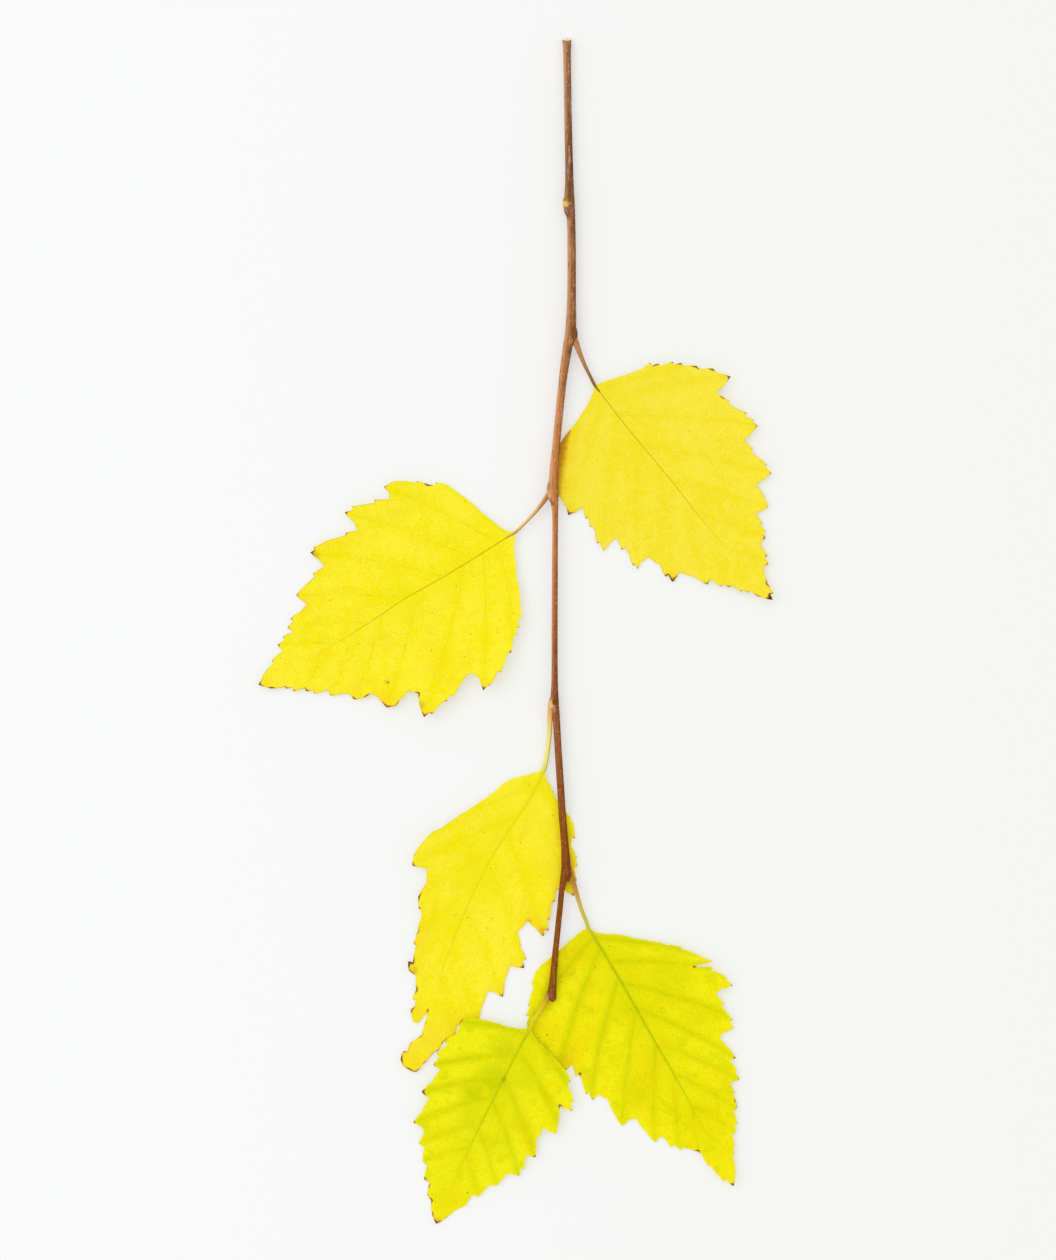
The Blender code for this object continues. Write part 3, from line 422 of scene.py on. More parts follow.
LEAVES["leaf_5"] = {
    "foot": (3, -98.25), "heading": -114.9, "run_in": 13,
    "rib": [(0, 0.9), (6, 0.5), (15, 0.2), (28, -0.2), (40, -0.2), (54.9, 0.2)],
    "heights": [(2.3, 2, 2.6), (2.1, 0.6, 2.9), (0.2, -0.3, 1.2)],
    "stalk": [(8.5, -89.8, 2.45, 0.72), (7.2, -92.6, 2.5, 0.6), (5.6, -95.3, 2.5, 0.54),
        (4.2, -97.3, 2.45, 0.5)],
    "left_base": [(1.2, 1.6), (2.8, 4.5), (4.5, 9), (6.4, 13.4)],
    "left_lobes": [
        [(10, 15.9), (14.7, 19)],
        [(14.9, 15.6), (18, 16.8), (21.7, 17.8)],
        [(21.7, 14.2), (25.5, 14), (29.1, 15.6)],
        [(29.8, 13.2), (35.2, 13.8)],
        [(35.6, 11.6), (36.6, 10.6), (39.7, 9.9)],
        [(40.6, 7.9), (44.2, 7)],
        [(44.5, 5.1), (47.5, 5), (49.3, 3.6)],
        [(50.2, 2.9), (52.4, 1.8)],
    ],
    "right_base": [(1.6, 1.2), (2.4, 4), (2.8, 7), (3.4, 10.5), (4.2, 13.5)],
    "right_lobes": [
        [(6, 15.5)],
        [(9.4, 15.1), (12.2, 17.3)],
        [(12.9, 16.1), (18.9, 17.3)],
        [(19.3, 15.1), (22.8, 15.7), (26.4, 17)],
        [(27, 14.6), (31, 14.9), (34.2, 15.6)],
        [(34.4, 13.2), (35.3, 12.1), (38.5, 12.3)],
        [(38.7, 10.6), (42.2, 9.4)],
        [(42.5, 8), (46.1, 7.2)],
        [(46.2, 5.5), (49.3, 4.9)],
        [(50, 3.5), (52.6, 2.2)],
    ],
    "left_veins": [(1.5, 9, 15), (6.8, 18.5, 16.9), (14.8, 29.1, 15.6), (21, 35.2, 13.8),
        (29, 39.7, 9.9), (36.5, 44.2, 7)],
    "right_veins": [(2, 6, 15.5), (8, 18.9, 17.3), (14.5, 26.4, 17), (19.5, 34.2, 15.6),
        (27, 38.5, 12.3), (34, 42.2, 9.4)],
    "burns": [(54.9, 0.2, 1.8, 1), (29.2, 15.5, 0.9, 0.8), (26.4, -16.8, 1.2, 1), (50, -3.4, 1, 0.9),
        (47, -5.4, 0.9, 0.7), (14.9, 15.7, 0.9, 0.9), (46, -7.1, 0.9, 0.8), (53, -1.6, 1, 0.7),
        (34, -15.5, 0.8, 0.6)],
    "specks": [(15, 0.2, 1.2, 0.45), (14, 0.3, 0.8, 0.4), (44.5, 4, 0.35, 0.8), (50, -2.2, 0.3, 0.7),
        (5.6, 0.5, 0.3, 0.5), (27, -7, 0.3, 0.4), (14.7, -8.8, 0.25, 0.5)],
    "gold": [(24.5, 10.8, 2.6, 0.9), (27, 13, 2.6, 0.8), (4, 9.5, 4, 0.5), (13.5, 12, 3, 0.5),
        (19, -3.4, 1.8, 0.5), (21, -8, 2, 0.4), (31, 4.5, 2.5, 0.4), (49, 1, 5, 0.6),
        (53.5, 0.4, 3, 0.6), (33, -9, 5, 0.3)],
    "tan": [(26, 12.4, 2, 0.25), (54, 0.2, 1.2, 0.4)],
    "green": [(8, -3, 4, 0.8), (16, -1.5, 5, 0.9), (21, -5, 4, 0.8), (30, 5, 3, 0.5), (12, 5, 5, 0.5),
        (23, 8, 3, 0.5), (27, -3, 4, 0.5)],
}

# Leaf colours in sRGB and what goes with them: two of the blade's own, the side veins' and the
# midrib's and how far and how strongly they show, the green left in the blade, its strength and
# its reach from the midrib, how much is golden and the gold, the margin and its width, how dry the
# teeth are, how many dots the blade has, the pleats' height in millimetres, and the specks.
LEAF_LOOKS = {}
LEAF_LOOKS["leaf_1"] = {
    "pale": (247, 231, 66), "deep": (243, 223, 36), "vein": (218, 194, 24), "vein_reach": 0.34,
    "vein_strength": 0.25, "rib": (170, 138, 22), "rib_strength": 0.58, "rib_reach": 0.26,
    "green": (238, 228, 16), "greenness": 0.15, "green_reach": 6, "golden": 0.1,
    "gold": (245, 203, 22), "margin": (232, 190, 30), "margin_width": 0.5, "dryness": 0.9,
    "dots": 0.1, "pleat": 0.04, "speck": (128, 96, 18),
}
LEAF_LOOKS["leaf_2"] = {
    "pale": (251, 238, 52), "deep": (246, 229, 12), "vein": (206, 192, 6), "vein_reach": 0.34,
    "vein_strength": 0.52, "rib": (168, 148, 8), "rib_strength": 0.64, "rib_reach": 0.28,
    "green": (236, 228, 4), "greenness": 0.3, "green_reach": 7, "golden": 0.3, "gold": (245, 203, 22),
    "margin": (226, 184, 20), "margin_width": 0.6, "dryness": 1, "dots": 0.4, "pleat": 0.06,
    "speck": (128, 96, 18),
}
LEAF_LOOKS["leaf_3"] = {
    "pale": (250, 238, 52), "deep": (246, 229, 12), "vein": (222, 206, 8), "vein_reach": 0.6,
    "vein_strength": 0.25, "rib": (208, 202, 8), "rib_strength": 0.42, "rib_reach": 0.7,
    "green": (236, 228, 4), "greenness": 0.25, "green_reach": 6, "golden": 0.35,
    "gold": (246, 200, 26), "margin": (246, 204, 14), "margin_width": 0.9, "dryness": 0.9,
    "dots": 0.4, "pleat": 0.04, "speck": (128, 96, 18),
}
LEAF_LOOKS["leaf_4"] = {
    "pale": (245, 238, 18), "deep": (234, 225, 0), "vein": (186, 194, 0), "vein_reach": 0.8,
    "vein_strength": 0.42, "rib": (160, 170, 0), "rib_strength": 0.6, "rib_reach": 0.62,
    "green": (208, 210, 0), "greenness": 0.8, "green_reach": 6, "golden": 0.5, "gold": (243, 210, 4),
    "margin": (242, 226, 24), "margin_width": 1.2, "dryness": 0.5, "dots": 0.3, "pleat": 0.05,
    "speck": (120, 96, 12),
}
LEAF_LOOKS["leaf_5"] = {
    "pale": (244, 239, 24), "deep": (234, 227, 0), "vein": (184, 192, 0), "vein_reach": 1.1,
    "vein_strength": 0.32, "rib": (164, 172, 0), "rib_strength": 0.42, "rib_reach": 0.6,
    "green": (198, 206, 0), "greenness": 0.7, "green_reach": 7, "golden": 0.3, "gold": (242, 212, 4),
    "margin": (242, 226, 24), "margin_width": 1.2, "dryness": 0.55, "dots": 0.2, "pleat": 0.05,
    "speck": (112, 122, 8),
}

BURN_LIGHT = (194, 138, 30)
BURN_DARK = (88, 54, 26)
# The tan patches' colour, which on leaf_1 is also the painted shadow of the twig.
TAN_AND_SHADE = (190, 116, 26)
UNDERSIDE = (236, 226, 96)

# Stalk colours in sRGB at the twig, one and two thirds on and where the blade starts, and how
# strong the painted light on the pale side and the painted shade on the shaded side are.
STALK_LOOKS = {
    "leaf_1": ([(172, 104, 64), (188, 132, 80), (166, 124, 72), (132, 100, 42)], 0.55, 0.5),
    "leaf_2": ([(164, 92, 54), (196, 130, 80), (220, 172, 98), (228, 202, 112)], 0.5, 0.85),
    "leaf_3": ([(206, 140, 70), (234, 194, 106), (238, 226, 132), (240, 234, 120)], 0.3, 0.35),
    "leaf_4": ([(134, 66, 20), (182, 126, 48), (206, 180, 80), (204, 200, 50)], 0.3, 0.3),
    "leaf_5": ([(160, 92, 40), (216, 182, 32), (226, 204, 34), (216, 202, 20)], 0.0, 0.1),
}
# Painted light on a stalk's lit side and painted shade on its shaded side.
STALK_LIT_PALE = (252, 232, 180)
STALK_SHADE_DARK = (140, 92, 28)

# Bark colours in sRGB up the twig: y and the colour there.
BARK_COLOURS = [
    (-93, (138, 78, 12)), (-62, (134, 72, 14)), (-47, (140, 76, 20)), (-37, (138, 76, 36)),
    (-27, (148, 86, 42)), (-16, (132, 72, 38)), (-5, (146, 80, 38)), (10, (164, 94, 48)),
    (40, (196, 126, 68)), (58, (180, 114, 62)), (80, (146, 96, 54)), (98, (154, 106, 66)),
    (106, (120, 76, 46)), (117, (110, 70, 44)), (127, (132, 88, 56)), (147, (156, 110, 70)),
]
BARK_DRIFT = 24.0
# Colour of the darker streaks, and of the painted shade on the twig's shaded right side.
BARK_DARK_AND_SHADE = (84, 46, 16)
BARK_PALE = (226, 170, 122)
BARK_PALE_LOW = (184, 116, 40)
# Painted light: the twig's lit left side is tinted this tan.
BARK_LIT_TAN = (232, 180, 136)
BARK_TAN_REACH = (-48.0, 20.0)
LENTICEL = (232, 200, 168)
LENTICEL_STRETCH = (1.0, 0.8, 1.0)
CUT_WOOD = (250, 236, 206)
CUT_RINGS = [(0.0, (168, 132, 84)), (0.24, (196, 164, 112)), (0.32, CUT_WOOD), (0.8, CUT_WOOD),
             (0.92, (170, 134, 70)), (1.2, (118, 80, 44))]

# Where the painted light on the tan side of the bark is faint: its middle in y, and how far off the
# tan starts to come back and is back.
TAN_GAP = 114.0
TAN_GAP_REACH = (5.0, 15.0)

# Coloured places on the bark's nodes: a colour, and each place's x, y, reach across and along, and
# strength. The shaded places are painted shade in the hollows beside the cushions and buds.
BARK_PLACES = {
    "olive": ((168, 130, 68), [(12.0, 107.8, 1.4, 0.9, 0.8), (8.0, 36.0, 0.9, 1.8, 0.7),
                               (12.7, 146.9, 1.6, 0.4, 0.7)]),
    "yellow": ((232, 188, 102), [(12.1, 106.35, 1.4, 0.8, 0.85), (8.4, -18.4, 1.1, 1.6, 0.9)]),
    # Painted shade in the hollows at the nodes.
    "node_shade": ((98, 64, 32), [(13.4, 108.2, 0.9, 1.2, 0.55), (14.6, 74.4, 1.3, 2.4, 0.55),
                            (9.6, -17.7, 0.7, 0.8, 0.85), (13.5, 69.8, 0.7, 1.2, 0.55),
                            (9.1, 31.6, 0.5, 0.9, 0.55), (13.0, 103.2, 0.8, 0.8, 0.45)]),
}


# Colours and shader nodes

def linear(colour):
    """An sRGB colour of 0 to 255 as linear red, green, blue and alpha."""
    shares = [value / 255 for value in colour]
    parts = [s / 12.92 if s <= 0.04045 else ((s + 0.055) / 1.055) ** 2.4 for s in shares]
    return (*parts, 1.0)


class Value:
    """What a node gives, which can be added to, subtracted from and multiplied as a number is."""

    def __init__(self, graph, socket):
        self.graph = graph
        self.socket = socket

    def __add__(self, other):
        return self.graph.math("ADD", self, other)

    def __sub__(self, other):
        return self.graph.math("SUBTRACT", self, other)

    def __mul__(self, other):
        return self.graph.math("MULTIPLY", self, other)


class Graph:
    """A material's node tree, with a short call for each kind of node."""

    def __init__(self, name):
        self.material = bpy.data.materials.new(name)
        self.material.use_nodes = True
        self.tree = self.material.node_tree
        self.shader = self.tree.nodes["Principled BSDF"]
        metres = Value(self, self.node("ShaderNodeTexCoord").outputs["Object"])
        self.place = self.stretched(metres, (1 / MM,) * 3)

    def feed(self, socket, value):
        """Link a node's value to the socket, or set it. A colour of three parts is in sRGB."""
        if isinstance(value, Value):
            self.tree.links.new(value.socket, socket)
        elif socket.type == "RGBA" and len(value) == 3:
            socket.default_value = linear(value)
        else:
            socket.default_value = value

    def node(self, kind, inputs=None, **settings):
        """A new node, with its inputs fed by name or place."""
        made = self.tree.nodes.new(kind)
        for key, value in settings.items():
            setattr(made, key, value)
        for key, value in (inputs or {}).items():
            self.feed(made.inputs[key], value)
        return made

    def math(self, operation, first, second=0.0):
        made = self.node("ShaderNodeMath", {0: first, 1: second}, operation=operation)
        return Value(self, made.outputs[0])

    def stretched(self, place, factors):
        made = self.node("ShaderNodeVectorMath", {0: place, 1: factors}, operation="MULTIPLY")
        return Value(self, made.outputs[0])

    def part(self, axis):
        made = self.node("ShaderNodeSeparateXYZ", {0: self.place})
        return Value(self, made.outputs[axis])

    def attribute(self, name):
        return Value(self, self.node("ShaderNodeAttribute", attribute_name=name).outputs["Fac"])

    def noise(self, scale, detail=2.0, roughness=0.5, place=None):
        inputs = {"Vector": place or self.place, "Scale": scale, "Detail": detail}
        made = self.node("ShaderNodeTexNoise", inputs | {"Roughness": roughness})
        return Value(self, made.outputs["Fac"])

    def cells(self, scale, feature="F1", output="Distance", place=None):
        inputs = {"Vector": place or self.place, "Scale": scale}
        made = self.node("ShaderNodeTexVoronoi", inputs, feature=feature)
        return Value(self, made.outputs[output])

    def ramp(self, value, low, high):
        """0 below low and 1 above high, smooth between. Low may be the larger of the two."""
        inputs = {"Value": value, "From Min": low, "From Max": high}
        made = self.node("ShaderNodeMapRange", inputs, interpolation_type="SMOOTHSTEP")
        return Value(self, made.outputs["Result"])

    def layer(self, colour, tint, share):
        """The colour with a share of the tint over it, at the mix node's sixth and seventh inputs."""
        made = self.node("ShaderNodeMix", {0: share, 6: colour, 7: tint}, data_type="RGBA")
        return Value(self, made.outputs[2])

    def colours(self, value, stops):
        """A colour ramp over value, from stops of (place, colour)."""
        low = stops[0][0]
        span = stops[-1][0] - low
        ramp = self.node("ShaderNodeValToRGB", {0: self.math("DIVIDE", value - low, span)})
        elements = ramp.color_ramp.elements
        elements[0].color = linear(stops[0][1])
        elements[1].color = linear(stops[-1][1])
        for place, colour in stops[1:-1]:
            elements.new((place - low) / span).color = linear(colour)
        return Value(self, ramp.outputs["Color"])

    def bump(self, height, depth, strength):
        """Bumps of height 0 to 1, depth millimetres deep."""
        inputs = {"Height": height, "Strength": strength, "Distance": depth * MM}
        made = self.node("ShaderNodeBump", inputs)
        self.tree.links.new(made.outputs["Normal"], self.shader.inputs["Normal"])

    def finish(self, colour, roughness, specular):
        self.feed(self.shader.inputs["Base Color"], colour)
        self.feed(self.shader.inputs["Roughness"], roughness)
        self.feed(self.shader.inputs["Specular IOR Level"], specular)
        return self.material


def leaf_material(name, look):
    """A matte yellow blade: mottled between its veins, greener near them, brown at its teeth."""
    graph = Graph(name + "_blade")
    ramp = graph.ramp
    layer = graph.layer
    attribute = graph.attribute
    broad = graph.noise(0.08)
    patches = graph.noise(0.24, 4.0, 0.6)
    cloud = graph.noise(0.5, 3.0)
    mottle = graph.noise(1.4, 3.0, 0.6)
    grain = graph.noise(3.4)
    net = graph.cells(1.3, "DISTANCE_TO_EDGE")
    vein = attribute("vein")
    edge = attribute("edge")
    dry = attribute("dry")

    # The blade's own yellow, with its golden and green patches.
    tone = broad * 0.3 + cloud * 0.3 + mottle * 0.35 + ramp(vein, 0.3, 4.0) * 0.05
    colour = layer(look["deep"], look["pale"], ramp(tone, 0.38, 0.6))
    wild_gold = ramp(patches, 0.46, 0.34) * look["golden"]
    gold = graph.math("MAXIMUM", attribute("gold") * ramp(cloud, 0.25, 0.6), wild_gold)
    colour = layer(colour, look["gold"], gold * 0.7)
    wild_green = ramp(patches, 0.5, 0.62) * (0.6 * look["greenness"])
    green = graph.math("MAXIMUM", attribute("green") * ramp(cloud, 0.1, 0.6), wild_green)
    colour = layer(colour, look["green"], green)

    # The net of veins, the side veins and the midrib.
    colour = layer(colour, look["vein"], ramp(net, 0.1, 0.02) * 0.14)
    vein_line = ramp(vein, look["vein_reach"], 0.04) * look["vein_strength"]
    vein_line = vein_line * ramp(mottle, 0.25, 0.65) * ramp(patches, 0.4, 0.62)
    colour = layer(colour, look["vein"], vein_line)
    rib_line = ramp(attribute("rib"), look["rib_reach"], 0.06) * look["rib_strength"]
    rib_line = rib_line * ramp(mottle, 0.1, 0.55) * attribute("rib_end")
    colour = layer(colour, look["rib"], rib_line)

    # The margin, dry in places, and the brown of its teeth.
    width = look["margin_width"]
    rim = ramp(edge + cloud * width, 1.2 * width, 0.4 * width) * dry * 0.45
    colour = layer(colour, look["margin"], rim)
    thin = ramp(edge + grain * 0.4, 0.45, 0.25) * ramp(cloud, 0.5, 0.64)
    colour = layer(colour, BURN_LIGHT, thin * dry * (0.5 * look["dryness"]))
    ragged = (grain - 0.5) * 0.7
    # Tan patches; on leaf_1 the tan band along the twig is partly painted shadow of the twig.
    colour = layer(colour, TAN_AND_SHADE, ramp(attribute("tan") + ragged * 0.5, 0.05, 1.0) * 0.85)
    burn = attribute("burn") + ragged - edge * 1.1
    colour = layer(colour, BURN_LIGHT, ramp(burn, 0.12, 0.42))
    colour = layer(colour, BURN_DARK, ramp(burn, 0.4, 0.85))

    # Specks, dots and the paler underside.
    colour = layer(colour, look["speck"], ramp(attribute("speck") + ragged * 0.4, 0.2, 0.8))
    chosen = ramp(graph.cells(0.34, output="Color"), 0.5, 0.56)
    dots = ramp(graph.cells(0.34), 0.11, 0.03) * chosen * look["dots"]
    colour = layer(colour, look["speck"], dots)
    colour = layer(colour, UNDERSIDE, attribute("under") * 0.45)
    graph.bump(ramp(net, 0.0, 0.14) + grain * 0.8, depth=0.035, strength=0.8)
    return graph.finish(colour, roughness=grain * 0.2 + 0.5, specular=0.03)


def stalk_material(name):
    """A stalk that turns from the twig's brown to the midrib's colour, painted lit on one side and
    shaded on the other.
    """
    graph = Graph(name + "_stalk")
    (foot, lower, upper, blade), lit_strength, shade_strength = STALK_LOOKS[name]
    look = LEAF_LOOKS[name]
    grain = graph.noise(2.6, 3.0)
    stops = [(0.08, foot), (0.4, lower), (0.72, upper), (1.05, blade), (1.5, look["rib"]),
             (2.4, look["vein"])]
    colour = graph.colours(graph.attribute("share") + grain * 0.16, stops)
    colour = graph.layer(colour, BURN_LIGHT, graph.ramp(graph.noise(6.0), 0.56, 0.72) * 0.3)
    # Painted light along the lit side and painted shade along the shaded side.
    side = graph.attribute("side") + grain * 0.5
    colour = graph.layer(colour, STALK_LIT_PALE, graph.ramp(side, 0.15, -0.7) * lit_strength)
    colour = graph.layer(colour, STALK_SHADE_DARK, graph.ramp(side, 0.4, 1.1) * shade_strength)
    graph.bump(grain, depth=0.05, strength=0.5)
    return graph.finish(colour, roughness=0.45, specular=0.15)


def bark_material():
    """Satin young bark, streaked, with lenticels; painted light tans one side and painted shade makes
    the other red-brown.
    """
    graph = Graph("twig_bark")
    ramp = graph.ramp
    layer = graph.layer
    along = graph.part("Y")
    streaks = graph.noise(1.9, 4.0, 0.65, graph.stretched(graph.place, STREAK_STRETCH))
    blotches = graph.noise(0.9, 3.0, 0.6)
    lenticels = graph.cells(1.7, place=graph.stretched(graph.place, LENTICEL_STRETCH))
    colour = graph.colours(along + (graph.noise(0.15) - 0.5) * BARK_DRIFT, BARK_COLOURS)

    # The painted light on the tan side and the painted shade on the other one.
    side = graph.attribute("side") + streaks * 1.2
    upper = ramp(along, *BARK_TAN_REACH)
    off_gap = graph.math("ABSOLUTE", along - TAN_GAP)
    tan = upper * 0.57 * (ramp(off_gap, *TAN_GAP_REACH) * 0.6 + 0.4)
    colour = layer(colour, BARK_LIT_TAN, ramp(side, 0.6, -0.3) * tan)
    colour = layer(colour, BARK_DARK_AND_SHADE, ramp(side, 0.8, 1.5) * 0.5)

    # Streaks, flecks, lenticels, the scars at the nodes and the painted shade in their hollows.
    pale_bark = layer(BARK_PALE_LOW, BARK_PALE, upper)
    colour = layer(colour, BARK_DARK_AND_SHADE, ramp(streaks, 0.47, 0.34) * 0.6)
    colour = layer(colour, pale_bark, ramp(streaks, 0.54, 0.68) * 0.5)
    colour = layer(colour, pale_bark, ramp(blotches, 0.57, 0.7) * 0.4)
    colour = layer(colour, LENTICEL, ramp(lenticels, 0.22, 0.12) * 0.4)
    uneven = (blotches - 0.5) * 1.2
    for name, (tint, _) in BARK_PLACES.items():
        colour = layer(colour, tint, ramp(graph.attribute(name) + uneven, 0.2, 0.95))

    wood = graph.colours(graph.attribute("from_middle"), CUT_RINGS)
    colour = layer(colour, wood, ramp(graph.attribute("cut"), 0.3, 0.7))
    graph.bump(streaks + ramp(lenticels, 0.24, 0.1) * 0.7, depth=0.06, strength=0.6)
    return graph.finish(colour, roughness=streaks * 0.3 + 0.4, specular=0.06)


def bud_material(name, scale_colour, tip_colour):
    """Glossy bud scales with paler rims, darker towards the tip."""
    graph = Graph(name)
    grain = graph.noise(3.5, 3.0)
    stops = [(0.1, scale_colour), (0.6, scale_colour), (0.95, tip_colour), (1.3, tip_colour)]
    colour = graph.colours(graph.attribute("share") + grain * 0.3, stops)
    colour = graph.layer(colour, BUD_RIM, graph.ramp(graph.attribute("rim"), 0.05, 0.4) * 0.5)
    graph.bump(grain, depth=0.04, strength=0.5)
    return graph.finish(colour, roughness=0.4, specular=0.4)


# Lines and fields, in numpy arrays of millimetres

def smooth_line(points, steps):
    """A Catmull-Rom line through points of any dimension, with that many steps a span."""
    points = np.array(points, dtype=float)
    ends = np.vstack([points[:1], points, points[-1:]])
    t = np.arange(steps)[:, None] / steps
    spans = []
    for p0, p1, p2, p3 in zip(ends, ends[1:], ends[2:], ends[3:]):
        spans.append(
            0.5 * (2 * p1 + (p2 - p0) * t + (2 * p0 - 5 * p1 + 4 * p2 - p3) * t**2
                   + (3 * p1 - p0 - 3 * p2 + p3) * t**3)
        )
    return np.vstack(spans + [points[-1:]])


def walked(line):
    """How far along the line each of its points lies, by their first three columns."""
    steps = np.linalg.norm(np.diff(np.array(line)[:, :3], axis=0), axis=1)
    return np.concatenate([[0.0], np.cumsum(steps)])


def spaced_line(points, spacing):
    """The smooth line through points, resampled at about that spacing."""
    fine = smooth_line(points, 24)
    way = walked(fine)
    wanted = np.linspace(0.0, way[-1], max(2, round(way[-1] / spacing)) + 1)
    return np.column_stack([np.interp(wanted, way, column) for column in fine.T])


def distance_to_line(points, line):
    """Distance of each point to a line of points, and how far along the line that place is."""
    nearest = np.full(len(points), np.inf)
    place = np.zeros(len(points))
    way = 0.0
    for start, end in zip(line, line[1:]):
        run = end - start
        length = max(np.linalg.norm(run), 1e-9)
        t = np.clip((points - start) @ run / length**2, 0.0, 1.0)
        gap = np.linalg.norm(points - start - t[:, None] * run, axis=1)
        closer = gap < nearest
        nearest[closer] = gap[closer]
        place[closer] = way + t[closer] * length
        way += length
    return nearest, place


def smoothstep(value):
    t = np.clip(value, 0.0, 1.0)
    return t * t * (3 - 2 * t)


def bell(distance, reach):
    """1 at no distance, falling smoothly to about a third at reach."""
    return np.exp(-((distance / reach) ** 2))


def noise_at(points, scale, seed):
    """Smooth noise between about -1 and 1 at each point, which may have two or three columns."""
    offset = 31.7 * seed
    spread = np.zeros((len(points), 3))
    spread[:, : points.shape[1]] = points * scale
    return np.array([noise.noise(Vector((x + offset, y - offset, z))) for x, y, z in spread])


def spots(points, listed, spread=1.35):
    """How strongly listed spots mark each point. A spot is two coordinates, one or two radii and
    a strength, and fades out at spread times its radius."""
    mark = np.zeros(len(points))
    for x, y, *radii, strength in listed:
        gap = np.linalg.norm((points - (x, y)) / radii, axis=1)
        mark = np.maximum(mark, strength * np.clip(spread - gap, 0.0, 1.0))
    return mark


# The outline of a blade

def serrated(line, side, draw):
    """The line of a lobe with small forward-pointing teeth on its stretches that run to the tip,
    and the points of those teeth."""
    toothed = [line[0]]
    tips = []
    for start, end in zip(line, line[1:]):
        start = Vector(start)
        run = Vector(end) - start
        teeth = int(run.length / TOOTH_PITCH)
        if run.x > TOOTHED_RUN * run.length and teeth > 1:
            ahead = run.normalized()
            outward = Vector((-ahead.y, ahead.x)) * side
            for tooth in range(1, teeth):
                foot = start + run * ((tooth + draw.uniform(-TOOTH_SHIFT, TOOTH_SHIFT)) / teeth)
                height = TOOTH_HEIGHT * draw.uniform(*TOOTH_SIZES)
                point = foot + outward * height + ahead * TOOTH_LEAN
                notch = foot - outward * NOTCH_DEPTH * height + ahead * NOTCH_LEAN
                toothed += [tuple(point), tuple(notch)]
                tips.append((*point, draw.uniform(*SMALL_TIP_RADII), draw.uniform(*TIP_DARKNESS)))
        toothed.append(end)
    return toothed, tips


def half_margin(leaf, name, side, draw):
    """One side's edge from the foot to the tip, as (along, left) points, and the brown spots on
    the points of its teeth."""
    foot, *_, tip = leaf["rib"]
    base = [foot] + [(along, side * out) for along, out in leaf[name + "_base"]]
    edge = [tuple(point) for point in smooth_line(base, 3)]
    burns = []
    for lobe in leaf[name + "_lobes"]:
        line = [edge[-1]] + [(along, side * out) for along, out in lobe]
        toothed, tips = serrated(line, side, draw)
        edge += toothed[1:]
        main_tip = (*edge[-1], draw.uniform(*MAIN_TIP_RADII), draw.uniform(*TIP_DARKNESS))
        burns += tips + [main_tip]
    toothed, tips = serrated([edge[-1], tip], side, draw)
    return edge + toothed[1:-1], burns + tips


def outline(leaf, seed):
    """The margin as a loop of (along, left) points, and the brown spots on its teeth."""
    draw = random.Random(seed)
    left, left_burns = half_margin(leaf, "left", 1, draw)
    right, right_burns = half_margin(leaf, "right", -1, draw)
    return np.array(left + [leaf["rib"][-1]] + right[:0:-1]), left_burns + right_burns


def refined(loop, seed):
    """The margin in short steps, its long stretches bowed a little outwards and roughened."""
    fine = []
    outwards = []
    for start, end in zip(loop, np.roll(loop, -1, axis=0)):
        run = end - start
        length = np.linalg.norm(run)
        outward = np.array((-run[1], run[0])) / length
        steps = max(1, round(length / MARGIN_STEP))
        for step in range(steps):
            t = step / steps
            fine.append(start + run * t + outward * (MARGIN_BOW * length * 4 * t * (1 - t)))
            outwards.append(outward)
    fine = np.array(fine)
    rough = MARGIN_ROUGHNESS * noise_at(fine, MARGIN_NOISE, seed)
    return fine + np.array(outwards) * rough[:, None]


def inside(points, loop):
    """Which points lie within a closed loop."""
    crossed = np.zeros(len(points), dtype=bool)
    for (x0, y0), (x1, y1) in zip(loop, np.roll(loop, -1, axis=0)):
        if y0 != y1:
            between = (y0 > points[:, 1]) != (y1 > points[:, 1])
            crossed ^= between & (points[:, 0] < (x1 - x0) * (points[:, 1] - y0) / (y1 - y0) + x0)
    return crossed


# The veins and the sheet of a blade

def midrib(leaf):
    return smooth_line(leaf["rib"], 6)


def on_rib(rib, along):
    """How far left the midrib lies that far along."""
    return np.interp(along, rib[:, 0], rib[:, 1])


def side_veins(leaf, rib, seed):
    """Each side vein as a line of (along, left) points, from the midrib to the tip of its lobe,
    bowed away from the tip of the blade and wandering a little."""
    shares = np.linspace(0.0, 1.0, VEIN_STEPS + 1)[:, None]
    veins = []
    for name, side in (("left", 1), ("right", -1)):
        for start_along, end_along, out in leaf[name + "_veins"]:
            start = np.array((start_along, on_rib(rib, start_along)))
            run = np.array((end_along, side * out)) - start
            across = np.array((-run[1], run[0])) * side
            vein = start + run * shares
            wander = VEIN_WANDER * noise_at(vein, WANDER_NOISE, seed) / np.linalg.norm(run)
            vein += across * (4 * shares * (1 - shares) * (VEIN_BOW + wander[:, None]))
            veins.append(vein)
    return veins


def to_table(leaf, points):
    """World x and y, in millimetres, of points of the leaf's frame."""
    heading = math.radians(leaf["heading"])
    along = np.array((math.cos(heading), math.sin(heading)))
    left = np.array((-along[1], along[0]))
    return np.array(leaf["foot"]) + points[:, :1] * along + points[:, 1:2] * left


def towards_tip(leaf, points):
    """How far along the blade each point is, 0 at its foot and 1 at its tip."""
    return points[:, 0] / leaf["rib"][-1][0]


def through_three(low, middle, high, t):
    """The parabola through three values at t = 0, 0.5 and 1."""
    return 2 * (t - 0.5) * (t - 1) * low + 4 * t * (1 - t) * middle + 2 * t * (t - 0.5) * high


